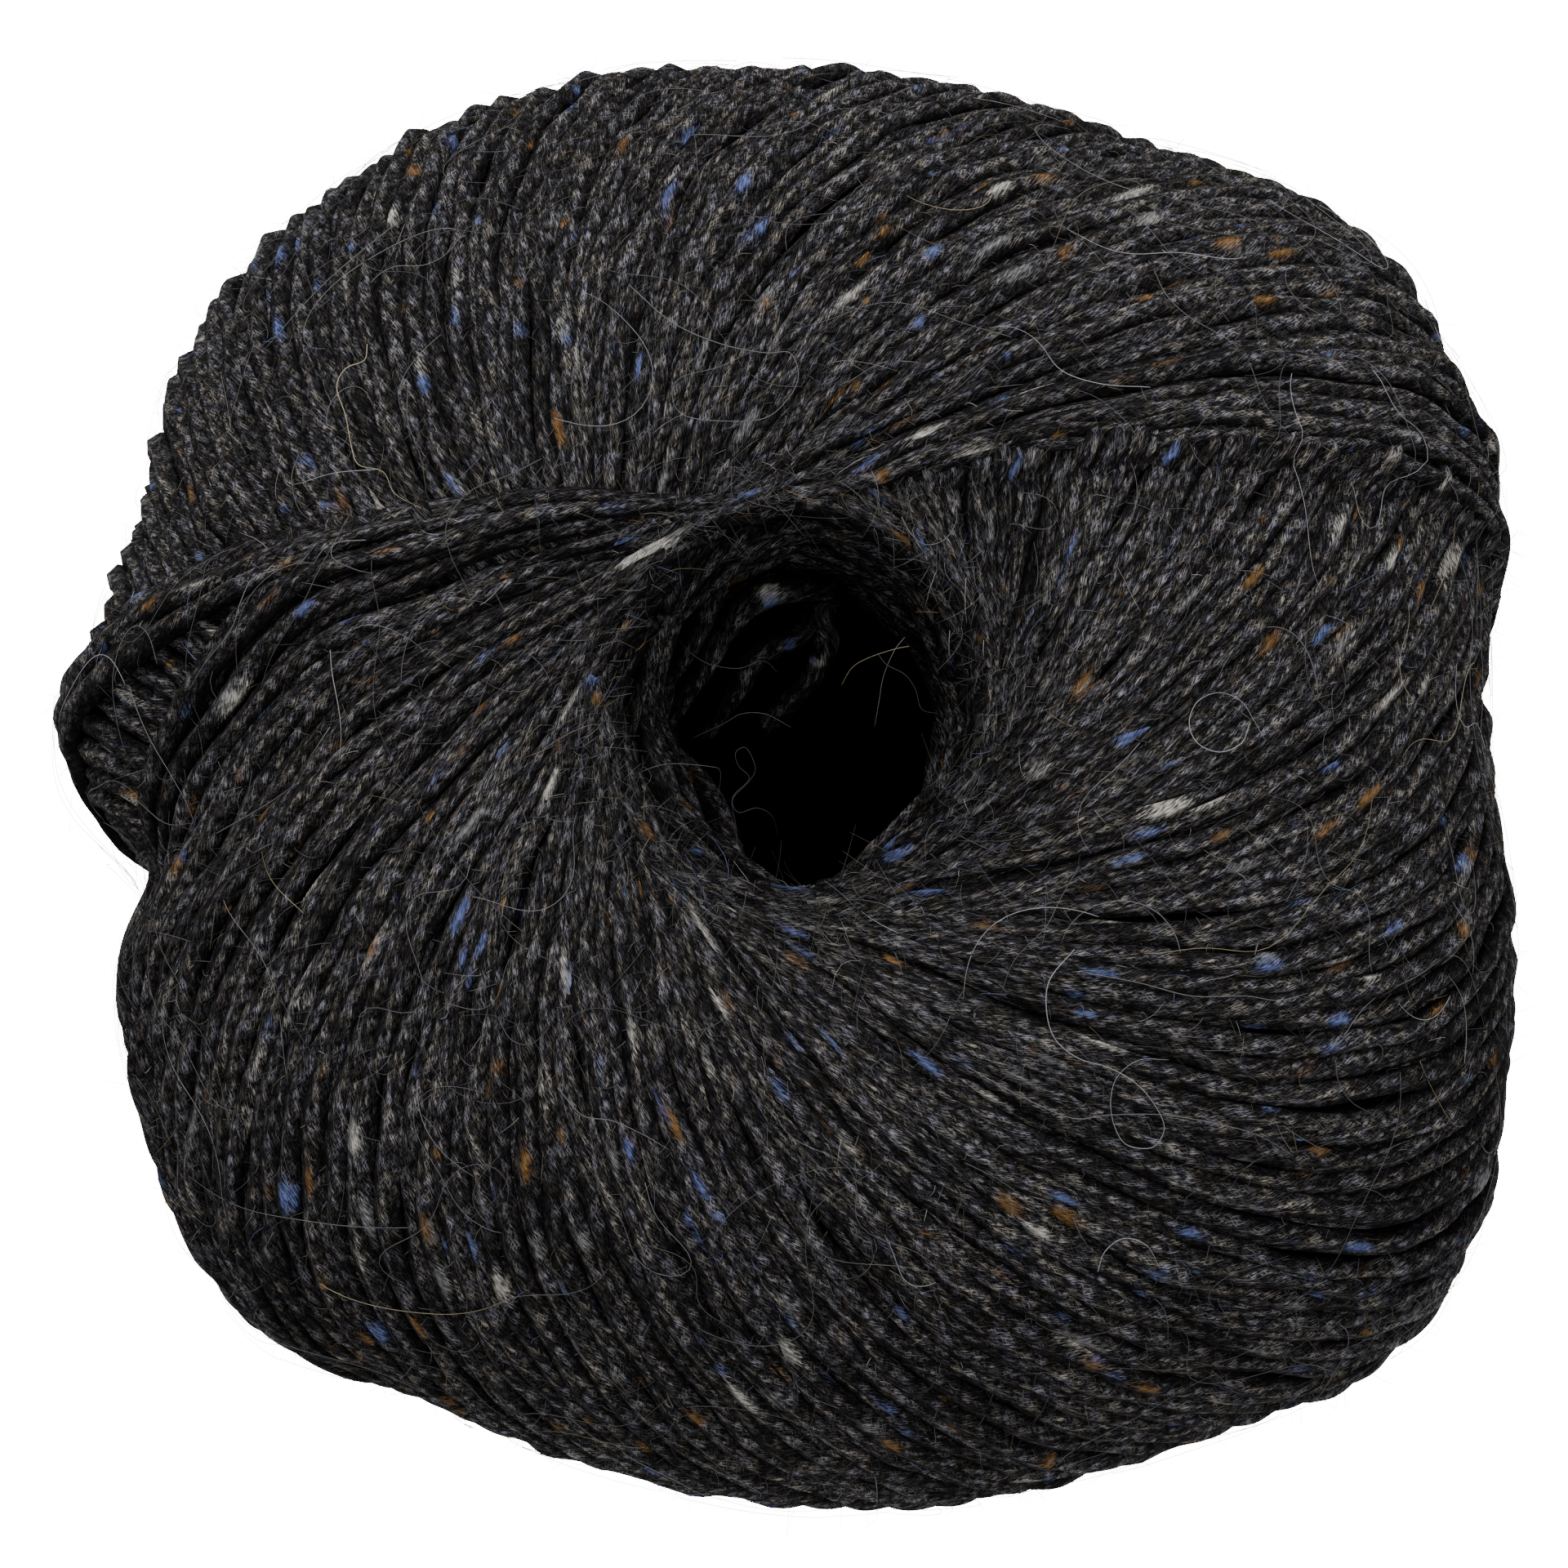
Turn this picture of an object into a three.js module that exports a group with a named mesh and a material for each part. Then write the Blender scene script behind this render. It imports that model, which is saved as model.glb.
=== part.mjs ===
// A centre-pull ball of tweed yarn, wound by machine, resting on its underside with its hollow facing up.
// Millimetres. +Z runs up the hollow's axis, +X is the ball's right as seen in front of it, and the ball
// rests on Z = 0. Angles in the tables are degrees: a direction turns anticlockwise from +X, seen from
// above, and a fall is measured down from +Z.
//
// Every turn of the winding is a great circle of the round form, tilted so that it just touches a small
// circle round the hollow's mouth. From that touching point one half of the turn falls anticlockwise and
// the other half clockwise. The winder moves the touching point a little further clockwise for each turn,
// so both halves leave their own family of ridges, and the newer one hides the older one. Turns wound well
// before the last ones have been pushed further round, so they swirl more.

import * as THREE from 'three';
import { ConvexGeometry } from 'three/addons/geometries/ConvexGeometry.js';
import { mergeVertices } from 'three/addons/utils/BufferGeometryUtils.js';

const DEGREE = Math.PI / 180;
const CIRCLE = 360;

// The wound form
const MIDDLE_HEIGHT = 33; // the ball's widest level above the surface it rests on
const CROWN_RISE = 36.5; // from that level to the top of the round form
const MEAN_REACH = 50.4;
const SHOULDER = 0.94; // under 1 makes the round form a little squarer in side view
const OUTLINE = [
  { direction: 0, reach: 48.8 },
  { direction: 15, reach: 50.4 },
  { direction: 30, reach: 53.8 },
  { direction: 40, reach: 54.9 },
  { direction: 62, reach: 49.3 },
  { direction: 85, reach: 48.0 },
  { direction: 130, reach: 49.7 },
  { direction: 145, reach: 49.0 },
  { direction: 160, reach: 46.2 },
  { direction: 200, reach: 47.2 },
  { direction: 227, reach: 51.6 },
  { direction: 240, reach: 48.9 },
  { direction: 260, reach: 49.0 },
  { direction: 300, reach: 53.2 },
  { direction: 320, reach: 57.6 },
  { direction: 340, reach: 53.1 },
];
const LUMPS = [
  { what: 'loop standing off the left edge', direction: 176, fall: 84, width: 7, length: 18, rise: 0.6 },
  { what: 'notch under that loop', direction: 191, fall: 84, width: 6, length: 30, rise: -3.8 },
  { what: 'pocket under the last turns', direction: 183, fall: 52, width: 13, length: 15, rise: -2.2 },
  { what: 'lower right corner', direction: 320, fall: 66, width: 26, length: 30, rise: 1.2 },
];

// The hollow, blind at its lower end
const MOUTH_FALL = 14; // every turn touches this circle round the hollow's axis
const MOUTH_SHIFT = 1.7; // the hollow lies this far to the right of the ball's centre
const LIP_ROUND = { depth: 3.6, reach: 6.5 }; // how far the crown sinks at the mouth, and how fast that fades
const HOLLOW = [
  { share: 0.8, radius: 9.7, height: 59 },
  { share: 0.55, radius: 8.8, height: 38 },
  { share: 0.3, radius: 7.9, height: 19 },
  { share: 0, radius: 0, height: 16 },
];
const HOLLOW_STEPS = 22;
const LIP_STEPS = 36;
const LIP_FADE = 6; // degrees of fall over which the last turns rise out of the smooth lip
const LIP_SHARE = 1.04; // a ring of even points just outside the mouth's circle
const MOUTH_STRETCH = { x: 0.9, y: 1.1 };

// The winding
const RIDGES = 54; // main twists of the surface, each a bundle of about three turns
const RIDGE_RISE = 1;
const RIDGE_FADE = 34; // degrees of fall over which the ridges grow, as they part on their way out
const FLAT_FALL = 150; // and they sink again on their way to the flat spot
const TURN_SPREAD = 0.89; // a turn comes less far round this form, which is flatter than a sphere
const NEWEST_TURN = 95; // direction at which the last turn touches the mouth's circle
const LAST_TURNS = { spread: 11, front: 2.2, rise: 1.7 }; // the last turns lie proud across the face
const STEPS_ALONG_HALF = 46;
const FIRST_LINE = 0.15; // share of a line's spacing, so that no line of points lies on the last turn's edge
const POINT_GAP = 1.5;
const FLAT_POINT_GAP = 5;
// The anticlockwise half of a turn and the clockwise half: how much further round than a great circle it
// has been pushed where it has fallen this far, and the ages over which that grows
const HALVES = [
  { side: 1, swirl: 26, lastFall: 125, growth: 80 },
  { side: -1, swirl: 15, lastFall: 80, growth: 50 },
];
const LAST_COUNT_AGE = 7.5; // turns younger than this keep to great circles
const SWIRL_STEPS = 8;

const YARN_COLOUR = 0x29282a;

function wrapped(angle) {
  return ((angle % CIRCLE) + CIRCLE) % CIRCLE;
}

function smooth(value) {
  const t = THREE.MathUtils.clamp(value, 0, 1);
  return t * t * (3 - 2 * t);
}

// Smooth closed curve through the rows of OUTLINE, as a reach for any direction
function reachTowards(direction) {
  const turn = wrapped(direction);
  const count = OUTLINE.length;
  const later = OUTLINE.findIndex((row) => row.direction > turn);
  const next = later < 0 ? 0 : later;
  const [before, from, to, after] = [-2, -1, 0, 1].map((step) => OUTLINE[(next + step + count) % count]);
  const span = wrapped(to.direction - from.direction);
  const slopeOut = (span * (to.reach - before.reach)) / wrapped(to.direction - before.direction);
  const slopeIn = (span * (after.reach - from.reach)) / wrapped(after.direction - from.direction);
  const t = wrapped(turn - from.direction) / span;
  const t2 = t * t;
  const t3 = t2 * t;
  return (2 * t3 - 3 * t2 + 1) * from.reach + (t3 - 2 * t2 + t) * slopeOut
    + (3 * t2 - 2 * t3) * to.reach + (t3 - t2) * slopeIn;
}

// How far round from its touching point a turn has come where it has fallen this far
function lagAt(fall) {
  const share = Math.tan(MOUTH_FALL * DEGREE) / Math.tan(fall * DEGREE);
  return (TURN_SPREAD * Math.acos(THREE.MathUtils.clamp(share, -1, 1))) / DEGREE;
}

// How long before the last turn the two halves that cross at a place were wound, as the winder's angle,
// if every turn were a great circle
function agesAt(direction, fall) {
  const lag = lagAt(fall);
  return HALVES.map(({ side }) => wrapped(direction - side * lag - NEWEST_TURN));
}

// How much further round than a great circle a half has been pushed at a place
function swirlAt(half, age, fall) {
  const grown = smooth((age - LAST_COUNT_AGE) / half.growth);
  return half.swirl * grown * smooth((fall - MOUTH_FALL) / (half.lastFall - MOUTH_FALL));
}

// The ages at a place with the swirl taken off, which stay the same along every turn
function swirledAges(direction, fall) {
  const ages = agesAt(direction, fall);
  return HALVES.map((half, index) => ages[index] - half.side * swirlAt(half, ages[index], fall));
}

// Where one half of a turn passes at a fall, found in a few steps because the swirl there depends on it
function turnDirection(half, age, fall) {
  let found = age;
  for (let step = 0; step < SWIRL_STEPS; step += 1) {
    found = age + half.side * swirlAt(half, found, fall);
  }
  return NEWEST_TURN + found + half.side * lagAt(fall);
}

// Height of the last turns, for the age of one half: full over the newest, then fading
function lastTurnsRise(age) {
  const front = smooth(1 - (CIRCLE - age) / LAST_TURNS.front);
  return LAST_TURNS.rise * Math.max(front, 1 - smooth(age / LAST_TURNS.spread - 0.5));
}

// Height of the ridges, the last turns and the lumps over the round form
function reliefAt(direction, fall) {
  const ages = agesAt(direction, fall);
  const newer = Math.min(...swirledAges(direction, fall));
  const ridge = RIDGE_RISE * Math.abs(Math.sin((newer * RIDGES * Math.PI) / CIRCLE));
  const last = Math.max(...ages.map(lastTurnsRise));
  const past = fall - MOUTH_FALL;
  const grown = smooth(past / RIDGE_FADE) * smooth((FLAT_FALL - fall) / RIDGE_FADE);
  let relief = ridge * grown + last * smooth(past / LIP_FADE);
  for (const lump of LUMPS) {
    const aside = (wrapped(direction - lump.direction + CIRCLE / 2) - CIRCLE / 2) / lump.width;
    const along = (fall - lump.fall) / lump.length;
    relief += lump.rise * Math.exp(-aside * aside - along * along);
  }
  return relief;
}

// The round form's reach and height at a fall, outside the hollow's mouth
function roundForm(direction, fall) {
  const sine = Math.sin(fall * DEGREE);
  const cosine = Math.cos(fall * DEGREE);
  const lobed = THREE.MathUtils.lerp(MEAN_REACH, reachTowards(direction), sine * sine);
  const out = lobed * sine ** SHOULDER;
  const mouth = MEAN_REACH * Math.sin(MOUTH_FALL * DEGREE) ** SHOULDER;
  const past = (out - mouth) / LIP_ROUND.reach;
  const sunk = cosine > 0 ? LIP_ROUND.depth * Math.exp(-past * past) : 0;
  const up = MIDDLE_HEIGHT + CROWN_RISE * Math.sign(cosine) * Math.abs(cosine) ** SHOULDER - sunk;
  return { out, up };
}

// A place on the ball's surface, for a unit vector that gives its direction and fall
function surfacePoint(unit) {
  const direction = Math.atan2(unit.y, unit.x) / DEGREE;
  const fall = Math.acos(THREE.MathUtils.clamp(unit.z, -1, 1)) / DEGREE;
  const toward = new THREE.Vector2(Math.cos(direction * DEGREE), Math.sin(direction * DEGREE));
  const shift = MOUTH_SHIFT * smooth((CIRCLE / 4 - fall) / (CIRCLE / 4 - MOUTH_FALL));
  const edge = roundForm(direction, Math.max(fall, MOUTH_FALL));
  if (fall >= MOUTH_FALL) {
    const relief = reliefAt(direction, fall);
    const from = new THREE.Vector2(edge.out, edge.up - MIDDLE_HEIGHT);
    from.setLength(from.length() + relief);
    const height = Math.max(0, MIDDLE_HEIGHT + from.y);
    return new THREE.Vector3(toward.x * from.x + shift, toward.y * from.x, height);
  }
  const share = fall / MOUTH_FALL;
  const lower = HOLLOW.findIndex((row) => row.share <= share);
  const above = lower === 0 ? { share: 1, radius: edge.out, height: edge.up } : HOLLOW[lower - 1];
  const below = HOLLOW[lower];
  const t = (share - below.share) / (above.share - below.share);
  const radius = THREE.MathUtils.lerp(below.radius, above.radius, t);
  const height = THREE.MathUtils.lerp(below.height, above.height, t);
  const x = toward.x * radius * MOUTH_STRETCH.x + shift;
  return new THREE.Vector3(x, toward.y * radius * MOUTH_STRETCH.y, height);
}

// A unit vector for a direction and a fall
function unitTowards(direction, fall) {
  const out = Math.sin(fall * DEGREE);
  const turn = direction * DEGREE;
  return new THREE.Vector3(out * Math.cos(turn), out * Math.sin(turn), Math.cos(fall * DEGREE));
}

// Unit vectors along the crest and the valley of every ridge, where its half turn lies on top
function ridgeUnits() {
  const units = [];
  for (let line = 0; line < 2 * RIDGES; line += 1) {
    const age = ((line + FIRST_LINE) * CIRCLE) / (2 * RIDGES);
    for (const [index, half] of HALVES.entries()) {
      for (let step = 1; step < STEPS_ALONG_HALF; step += 1) {
        const along = (step * Math.PI) / STEPS_ALONG_HALF;
        const fall = Math.acos(Math.cos(MOUTH_FALL * DEGREE) * Math.cos(along)) / DEGREE;
        const direction = turnDirection(half, age, fall);
        const ages = swirledAges(direction, fall);
        if (ages[index] <= Math.min(...ages)) {
          units.push(unitTowards(direction, fall));
        }
      }
    }
  }
  return units;
}

// A ring of unit vectors at one fall
function ringUnits(fall, steps) {
  const units = [];
  for (let step = 0; step < steps; step += 1) {
    units.push(unitTowards(((step + fall) * CIRCLE) / steps, fall));
  }
  return units;
}

// Rings round the lip and down the hollow's wall, the middle of its floor and the middle of the underside
function hollowUnits() {
  const units = [new THREE.Vector3(0, 0, 1), new THREE.Vector3(0, 0, -1)];
  units.push(...ringUnits(LIP_SHARE * MOUTH_FALL, LIP_STEPS));
  for (const { share } of HOLLOW.filter((row) => row.share > 0)) {
    units.push(...ringUnits(share * MOUTH_FALL, HOLLOW_STEPS));
  }
  return units;
}

// The unit vectors that stay when none may lie closer to another on the surface than the gap
function spacedUnits(units) {
  const kept = [];
  const places = [];
  for (const unit of units) {
    const place = surfacePoint(unit);
    const gap = place.z > 0 ? POINT_GAP : FLAT_POINT_GAP;
    if (places.every((other) => other.distanceToSquared(place) > gap * gap)) {
      kept.push(unit);
      places.push(place);
    }
  }
  return kept;
}

// The ball as one closed surface: the unit vectors are joined by their own convex hull, which wraps a
// sphere in even triangles, and each corner then moves out to its place on the ball
function ballGeometry() {
  const units = spacedUnits([...hollowUnits(), ...ridgeUnits()]);
  const wrapped = new ConvexGeometry(units);
  wrapped.deleteAttribute('normal');
  const geometry = mergeVertices(wrapped);
  const corners = geometry.attributes.position;
  for (let corner = 0; corner < corners.count; corner += 1) {
    const unit = new THREE.Vector3().fromBufferAttribute(corners, corner).normalize();
    const place = surfacePoint(unit);
    corners.setXYZ(corner, place.x, place.y, place.z);
  }
  geometry.computeBoundingBox();
  const middle = geometry.boundingBox.getCenter(new THREE.Vector3());
  geometry.translate(-middle.x, -middle.y, -geometry.boundingBox.min.z);
  geometry.computeVertexNormals();
  return geometry;
}

const yarn = new THREE.MeshStandardMaterial({ color: YARN_COLOUR, roughness: 0.95, metalness: 0 });
const ball = new THREE.Mesh(ballGeometry(), yarn);
ball.name = 'yarn_ball';

const part = new THREE.Group();
part.add(ball);

export default part;
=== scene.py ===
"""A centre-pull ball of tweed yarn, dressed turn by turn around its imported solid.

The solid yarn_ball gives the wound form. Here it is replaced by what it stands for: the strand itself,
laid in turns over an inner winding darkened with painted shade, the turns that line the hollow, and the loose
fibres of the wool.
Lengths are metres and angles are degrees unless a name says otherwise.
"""

import logging
import math
from collections.abc import Sequence
from dataclasses import dataclass, field, replace
from enum import Enum

import bpy
import numpy as np
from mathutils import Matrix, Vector


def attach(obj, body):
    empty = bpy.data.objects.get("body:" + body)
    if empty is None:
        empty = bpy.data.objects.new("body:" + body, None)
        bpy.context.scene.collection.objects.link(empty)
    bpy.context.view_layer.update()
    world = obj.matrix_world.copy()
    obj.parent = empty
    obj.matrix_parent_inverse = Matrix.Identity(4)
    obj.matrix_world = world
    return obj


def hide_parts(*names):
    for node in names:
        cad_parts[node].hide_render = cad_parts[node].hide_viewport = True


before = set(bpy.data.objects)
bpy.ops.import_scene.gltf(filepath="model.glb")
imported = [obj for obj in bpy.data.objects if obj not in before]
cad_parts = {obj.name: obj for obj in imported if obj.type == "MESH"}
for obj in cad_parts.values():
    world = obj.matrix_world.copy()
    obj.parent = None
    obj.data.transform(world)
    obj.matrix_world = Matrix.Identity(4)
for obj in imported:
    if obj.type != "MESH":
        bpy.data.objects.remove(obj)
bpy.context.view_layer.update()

LOG = logging.getLogger("yarn_ball")

MM = 0.001
CIRCLE = 360.0
HALF_CIRCLE = 180.0
LEVEL_FALL = 90.0
FULL_TURN = 2.0 * math.pi
SHORTEST = 1e-12
WAVE_VARY = (0.8, 1.25)
BODY = "root"
NODE = "yarn_ball"
SEED = 20731

WHITE = (1.0, 1.0, 1.0, 1.0)

Array = np.ndarray
Socket = bpy.types.NodeSocket
Span = tuple[float, float]
Colour = tuple[float, float, float]
Route = tuple[tuple[float, ...], ...]


class Side(Enum):
    """The two halves of a turn, by the way they fall from the mouth, seen from above."""

    ANTICLOCKWISE = 1
    CLOCKWISE = -1


class Wool(Enum):
    """Dyed wools blended in the tweed, as linear colours."""

    BLUE = (0.105, 0.135, 0.30)
    RUST = (0.185, 0.100, 0.036)
    CREAM = (0.44, 0.42, 0.38)
    GREY = (0.19, 0.19, 0.197)


class HairShade(Enum):
    """Colours of the long hairs that stand out, as linear colours."""

    DIM = (0.060, 0.060, 0.063)
    MID = (0.115, 0.115, 0.120)
    LIGHT = (0.230, 0.230, 0.240)
    GOLD = (0.320, 0.270, 0.170)


@dataclass(frozen=True)
class Reach:
    """How far the widest level reaches towards one direction."""

    direction: float
    reach: float


@dataclass(frozen=True)
class Lump:
    """A soft bump or dent of the wound form."""

    direction: float
    fall: float
    width: float
    length: float
    rise: float


@dataclass(frozen=True)
class Swirl:
    """How much further round than a great circle one half of a turn goes while it falls."""

    total: float
    start: float
    end: float

    def at(self, fall: Array) -> Array:
        """The extra way round where the turn has fallen this far."""
        return self.total * smooth((fall - self.start) / (self.end - self.start))


@dataclass(frozen=True)
class Fleck:
    """A dyed fleck that shows from a step away, at its place in the photo's view."""

    x: float
    y: float
    length: float
    wool: Wool
    spread: int = 0
    strength: float = 0.92


def wrapped(angle: Array) -> Array:
    """Angles brought into the range from 0 to 360."""
    return np.mod(angle, CIRCLE)


def smooth(value: Array) -> Array:
    """Three t squared minus two t cubed, of values held between 0 and 1."""
    t = np.clip(value, 0.0, 1.0)
    return t * t * (3.0 - 2.0 * t)


def unit(vectors: Array) -> Array:
    """Vectors divided by their lengths."""
    return vectors / np.maximum(np.linalg.norm(vectors, axis=-1, keepdims=True), SHORTEST)


def wander(along: Array, rng: np.random.Generator, waves: Sequence[float], size: float) -> Array:
    """Soft random curve along a path: a sum of sines with random phases, each of the same share.

    Args:
        along: Length along the path at each step.
        rng: Random source.
        waves: Wavelengths of the sines.
        size: Root mean square of the curve.

    Returns:
        The curve's value at each step.
    """
    waves_row = np.asarray(waves) * rng.uniform(*WAVE_VARY, len(waves))
    phases = rng.uniform(0.0, FULL_TURN, len(waves))
    angles = FULL_TURN * along[:, None] / waves_row[None, :] + phases[None, :]
    return size * math.sqrt(2.0 / len(waves)) * np.sin(angles).sum(axis=1)


@dataclass(frozen=True)
class WoundForm:
    """The ball's round form, with the lobes of its outline, its mouth and the lie of its last turns."""

    middle_height: float = 33.0 * MM
    crown_rise: float = 36.5 * MM
    mean_reach: float = 50.4 * MM
    shoulder: float = 0.94
    mouth_fall: float = 14.0
    mouth_shift: float = 1.7 * MM
    hollow_shift: float = 0.6 * MM
    lip_depth: float = 3.6 * MM
    lip_reach: float = 6.5 * MM
    wall_drop: float = 5.0 * MM
    wall_width: float = 2.4 * MM
    ridge_rise: float = 1.0 * MM
    centre: tuple[float, float] = (0.0, 0.0)
    turn_spread: float = 0.89
    newest_turn: float = 95.0
    last_count_age: float = 5.8
    left_swirl: Swirl = Swirl(26.0, 14.0, 125.0)
    right_swirl: Swirl = Swirl(15.0, 14.0, 80.0)
    pocket: Swirl = Swirl(19.0, 34.0, 110.0)
    left_growth: float = 80.0
    right_growth: float = 50.0
    last_spread: float = 11.0
    last_even: float = 0.5
    last_front: float = 2.2
    last_rise: float = 1.7 * MM
    last_fade: float = 6.0
    widest_falls: tuple[float, float] = (60.0, 120.0)
    outline: tuple[Reach, ...] = (
        Reach(0.0, 48.8 * MM),
        Reach(15.0, 50.4 * MM),
        Reach(30.0, 53.8 * MM),
        Reach(40.0, 54.9 * MM),
        Reach(62.0, 49.3 * MM),
        Reach(85.0, 48.0 * MM),
        Reach(130.0, 49.7 * MM),
        Reach(145.0, 49.0 * MM),
        Reach(160.0, 46.2 * MM),
        Reach(200.0, 47.2 * MM),
        Reach(227.0, 51.6 * MM),
        Reach(240.0, 48.9 * MM),
        Reach(260.0, 49.0 * MM),
        Reach(300.0, 53.2 * MM),
        Reach(320.0, 57.6 * MM),
        Reach(340.0, 53.1 * MM),
    )
    lumps: tuple[Lump, ...] = (
        Lump(176.0, 84.0, 7.0, 18.0, 0.6 * MM),
        Lump(191.0, 84.0, 6.0, 30.0, -3.8 * MM),
        Lump(183.0, 52.0, 13.0, 15.0, -2.2 * MM),
        Lump(320.0, 66.0, 26.0, 30.0, 1.2 * MM),
    )

    def reach_towards(self, direction: Array) -> Array:
        """Reach of the widest level: cubic curves through the outline's rows, with shared slopes."""
        rows = np.array([row.direction for row in self.outline])
        reaches = np.array([row.reach for row in self.outline])
        turn = wrapped(direction)
        after = np.searchsorted(rows, turn, side="right") % len(rows)
        at = [(after + step) % len(rows) for step in (-2, -1, 0, 1)]
        before, start, end, beyond = [rows[index] for index in at]
        r_before, r_start, r_end, r_beyond = [reaches[index] for index in at]
        span = wrapped(end - start)
        slope_out = span * (r_end - r_before) / wrapped(end - before)
        slope_in = span * (r_beyond - r_start) / wrapped(beyond - start)
        t = wrapped(turn - start) / span
        t2, t3 = t * t, t * t * t
        return (
            (2 * t3 - 3 * t2 + 1) * r_start
            + (t3 - 2 * t2 + t) * slope_out
            + (3 * t2 - 2 * t3) * r_end
            + (t3 - t2) * slope_in
        )

    def lag_at(self, fall: Array, mouth_fall: float | None = None) -> Array:
        """How far round from its touching point a turn has come: arc cosine of tan mouth over tan fall."""
        mouth = self.mouth_fall if mouth_fall is None else mouth_fall
        share = math.tan(math.radians(mouth)) / np.tan(np.radians(fall))
        return self.turn_spread * np.degrees(np.arccos(np.clip(share, -1.0, 1.0)))

    def turn_lag(self, side: Side, age: float, fall: Array, mouth_fall: float | None = None) -> Array:
        """How far round from its touching point one half of a turn has come.

        The last turns keep to great circles. The ones before them swirl further round, and on the
        anticlockwise side that starts at once, which leaves the dark pocket under the last turns.

        Args:
            side: Which half.
            age: How long before the last turn it was wound, as the winder's angle.
            fall: Angle down from the top.
            mouth_fall: Fall of the circle that the turn touches, if it isn't the form's own.

        Returns:
            The lag, positive on both sides.
        """
        lag = self.lag_at(fall, mouth_fall)
        before = age - self.last_count_age
        if before <= 0.0:
            return lag
        if side is Side.ANTICLOCKWISE:
            share = float(smooth(before / self.left_growth))
            return lag + (1.0 - share) * self.pocket.at(fall) + share * self.left_swirl.at(fall)
        return lag + float(smooth(before / self.right_growth)) * self.right_swirl.at(fall)

    def relief(self, direction: Array, fall: Array) -> Array:
        """Height of the last turns and the lumps over the round form."""
        lag = self.lag_at(np.maximum(fall, self.mouth_fall))
        last = np.zeros_like(fall)
        for side in Side:
            age = wrapped(direction - side.value * lag - self.newest_turn)
            front = smooth(1.0 - (CIRCLE - age) / self.last_front)
            back = 1.0 - smooth(age / self.last_spread - self.last_even)
            last = np.maximum(last, np.maximum(front, back))
        relief = self.last_rise * last * smooth((fall - self.mouth_fall) / self.last_fade)
        for lump in self.lumps:
            aside = (wrapped(direction - lump.direction + HALF_CIRCLE) - HALF_CIRCLE) / lump.width
            along = (fall - lump.fall) / lump.length
            relief = relief + lump.rise * np.exp(-aside * aside - along * along)
        return relief

    def place(self, direction: Array, fall: Array, lift: Array | float, floor: float = 0.0) -> Array:
        """Places on the wound form.

        The reach is the lobed radius times a power of sin fall and the height is a power of cos fall. Near
        the mouth the crown sinks by a bell curve and then drops with the square of the way past the lip.

        Args:
            direction: Angle round the axis at each place.
            fall: Angle down from the top at each place.
            lift: Height over the form, along the line from the ball's middle.
            floor: Lowest height that a place may have.

        Returns:
            Points in an array whose last axis is x, y and z.
        """
        sine, cosine = np.sin(np.radians(fall)), np.cos(np.radians(fall))
        lobed = self.mean_reach + (self.reach_towards(direction) - self.mean_reach) * sine**2
        out = lobed * np.abs(sine) ** self.shoulder
        mouth = self.mean_reach * math.sin(math.radians(self.mouth_fall)) ** self.shoulder
        past = (out - mouth) / self.lip_reach
        inside = np.maximum(mouth - out, 0.0) / self.wall_width
        sunk = self.lip_depth * np.exp(-past * np.abs(past)) + self.wall_drop * inside**2
        up = self.crown_rise * np.sign(cosine) * np.abs(cosine) ** self.shoulder
        up = up - np.where(cosine > 0, sunk, 0.0)
        distance = np.hypot(out, up)
        grown = (distance + self.relief(direction, fall) + lift) / distance
        turn = np.radians(direction)
        crown = smooth((LEVEL_FALL - fall) / (LEVEL_FALL - self.mouth_fall))
        shift = self.mouth_shift * crown - self.centre[0]
        away = np.sin(turn) * out * grown - self.centre[1]
        points = np.stack([np.cos(turn) * out * grown + shift, away, up * grown], -1)
        points[..., 2] = np.maximum(points[..., 2] + self.middle_height, floor)
        return points

    def centred(self) -> "WoundForm":
        """The same form with the middle of its box over the frame's origin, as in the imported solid."""
        direction, fall = np.meshgrid(np.arange(0.0, CIRCLE, 1.0), np.arange(*self.widest_falls, 1.0))
        points = self.place(direction, fall, self.ridge_rise).reshape(-1, 3)
        middle = 0.5 * (points.min(axis=0) + points.max(axis=0))
        return replace(self, centre=(float(middle[0]), float(middle[1])))

    def axis(self) -> Array:
        """Where the hollow's axis stands."""
        return np.array([self.mouth_shift + self.hollow_shift - self.centre[0], -self.centre[1]])

    def outward(self, points: Array) -> Array:
        """Outward directions at places on the form: the normals of the ellipsoid through them."""
        scaled = points - np.array([-self.centre[0], -self.centre[1], self.middle_height])
        return unit(scaled / np.array([self.mean_reach, self.mean_reach, self.crown_rise]) ** 2)


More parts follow.
